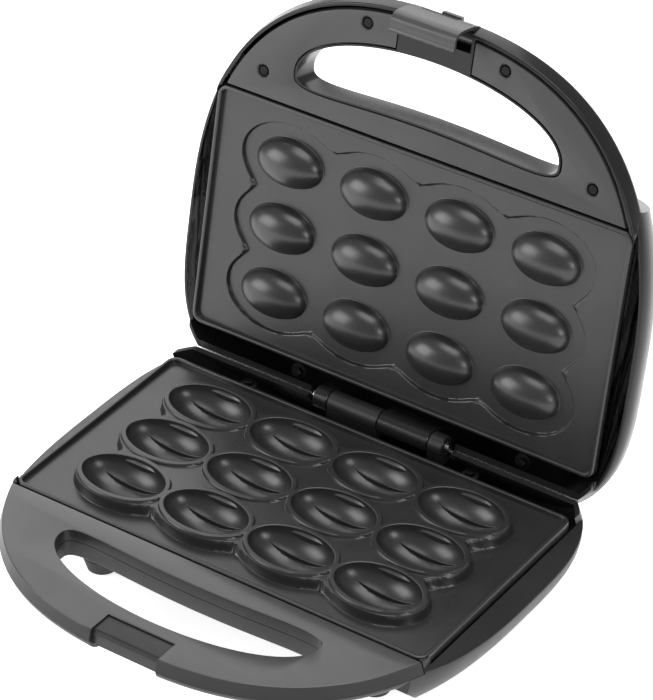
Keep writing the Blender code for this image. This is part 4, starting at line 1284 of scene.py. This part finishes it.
def on_upper_rim(place):
    """Edges of the rims beside the lid's plate."""
    beside = abs(place.x) > plate_x - 0.004 and abs(place.z - lid_flank_drop) < 0.0001
    return beside and place.y > -0.058


def upper_cover():
    """Flat panel in the lid's handle, with a gap for the latch."""
    low = panel_thickness
    cover = cover_slab("upper_handle_panel", 1, parting, low, cover_seam, 0, panel_round)
    rear = -opening_front + opening_inset
    cut(cover, front_block("latch_gap", cover_gap_x, rear, -spare, low + spare, 1))
    for x, y in cover_screw_places:
        cut_seat(cover, x, y, parting, 1, 40)
    set_down(cover, to_lid, "lid", inner_cover_finish, "upper_handle_cover")


def latch_profile():
    """Closed outline of the clip's bent wall: outer side down to the lip, inner side back up."""
    outer_mm = [
        (-120.9, 8.6), (-121.9, 7.6), (-122.6, 5.5), (-123.1, 2.5), (-123.3, -1.0), (-123.4, -6.0),
        (-123.2, -8.6), (-122.6, -10.4), (-121.4, -11.7), (-120.0, -12.3), (-118.6, -12.4),
        (-117.0, -12.3), (-115.8, -12.4), (-114.9, -12.9),
    ]
    inner = []
    for k, (y, z) in enumerate(outer_mm):
        before = outer_mm[max(k - 1, 0)]
        after = outer_mm[min(k + 1, len(outer_mm) - 1)]
        length = hypot(after[0] - before[0], after[1] - before[1])
        y_off = -(after[1] - before[1]) / length
        z_off = (after[0] - before[0]) / length
        inner.append((y + latch_sheet * 1000 * y_off, z + latch_sheet * 1000 * z_off))
    return [(y / 1000, z / 1000) for y, z in outer_mm + inner[::-1]]


def latch():
    """Clip: its bent wall, the eye on the pin with its web, a groove and a small tab."""
    pin_y, pin_z = latch_pin
    made = bar("latch_clip", latch_profile(), -latch_half, latch_half)
    join(made, rod("eye", -latch_half, latch_half, pin_y, pin_z, latch_eye_radius, 48))
    low = (-latch_half, -0.122, pin_z - latch_web_half)
    join(made, block("web", low, (latch_half, pin_y, pin_z + latch_web_half)))
    wide = latch_half + spare
    cut(made, rod("bore", -wide, wide, pin_y, pin_z, latch_bore, 32))
    soften(made, latch_round, 50)
    cut(made, block("groove", *latch_groove))
    join(made, block("tab", *latch_tab))
    set_down(made, to_lid, "latch", latch_finish, "latch")


lower_housing()
lower_cover()
upper_housing()
upper_cover()
latch()


# Studio

# Each softbox: name, place, where it aims, width and height in metres, watts
softboxes = (
    ("top_softbox", (0.1, 0.0, 1.5), (0, 0, 0.05), 1.3, 1.0, 16),
    ("left_softbox", (-1.13, -0.95, 0.64), (0, 0, 0.08), 0.9, 0.9, 14),
    ("right_softbox", (1.38, -0.53, 0.64), (0, 0, 0.08), 0.5, 0.6, 6),
    ("rear_left_softbox", (-0.62, 0.75, 0.85), (-0.05, -0.08, 0.04), 1.0, 1.1, 6),
)
floor_glow = 0.8
surrounding_light = 0.42


def add_light(name, place, aim, size_x, size_y, power):
    deselect()
    bpy.ops.object.light_add(type="AREA", location=place)
    light = bpy.context.object
    light.name = name
    light.data.shape = "RECTANGLE"
    light.data.size = size_x
    light.data.size_y = size_y
    light.data.energy = power
    light.rotation_euler = (Vector(aim) - Vector(place)).to_track_quat("-Z", "Y").to_euler()


def add_studio():
    deselect()
    bpy.ops.mesh.primitive_plane_add(size=14, location=(0, 0, -0.0002))
    floor = bpy.context.object
    floor.name = "floor"
    made, tree, shader, coords = finish_nodes("floor_paper")
    tint(tree, shader, noise(tree, coords, 3, 3), (0.9, 0.9, 0.9), (0.94, 0.94, 0.94))
    fill(shader, Roughness=0.9, Specular_IOR_Level=0.2)
    fill(shader, Emission_Color=(1, 1, 1, 1), Emission_Strength=floor_glow)
    floor.data.materials.append(made)
    world = bpy.data.worlds.new("studio")
    bpy.context.scene.world = world
    world.use_nodes = True
    sky = world.node_tree.nodes["Background"]
    fill(sky, Color=(1, 1, 1, 1), Strength=surrounding_light)
    for softbox in softboxes:
        add_light(*softbox)
    bpy.context.scene.view_settings.view_transform = "Standard"


def add_camera():
    back = Vector((
        sin(view_azimuth) * cos(view_elevation),
        -cos(view_azimuth) * cos(view_elevation),
        sin(view_elevation),
    ))
    across = Vector((cos(view_azimuth), sin(view_azimuth), 0))
    upright = back.cross(across)
    turned = Matrix((across, upright, back)).transposed().to_4x4()
    turned = turned @ Matrix.Rotation(view_roll, 4, "Z")
    deselect()
    bpy.ops.object.camera_add()
    camera = bpy.context.object
    camera.matrix_world = Matrix.Translation(view_target + back * view_distance) @ turned
    camera.data.lens = view_lens
    camera.data.sensor_fit = "HORIZONTAL"
    camera.data.sensor_width = 36
    camera.data.clip_end = 20
    bpy.context.scene.camera = camera


add_studio()
add_camera()
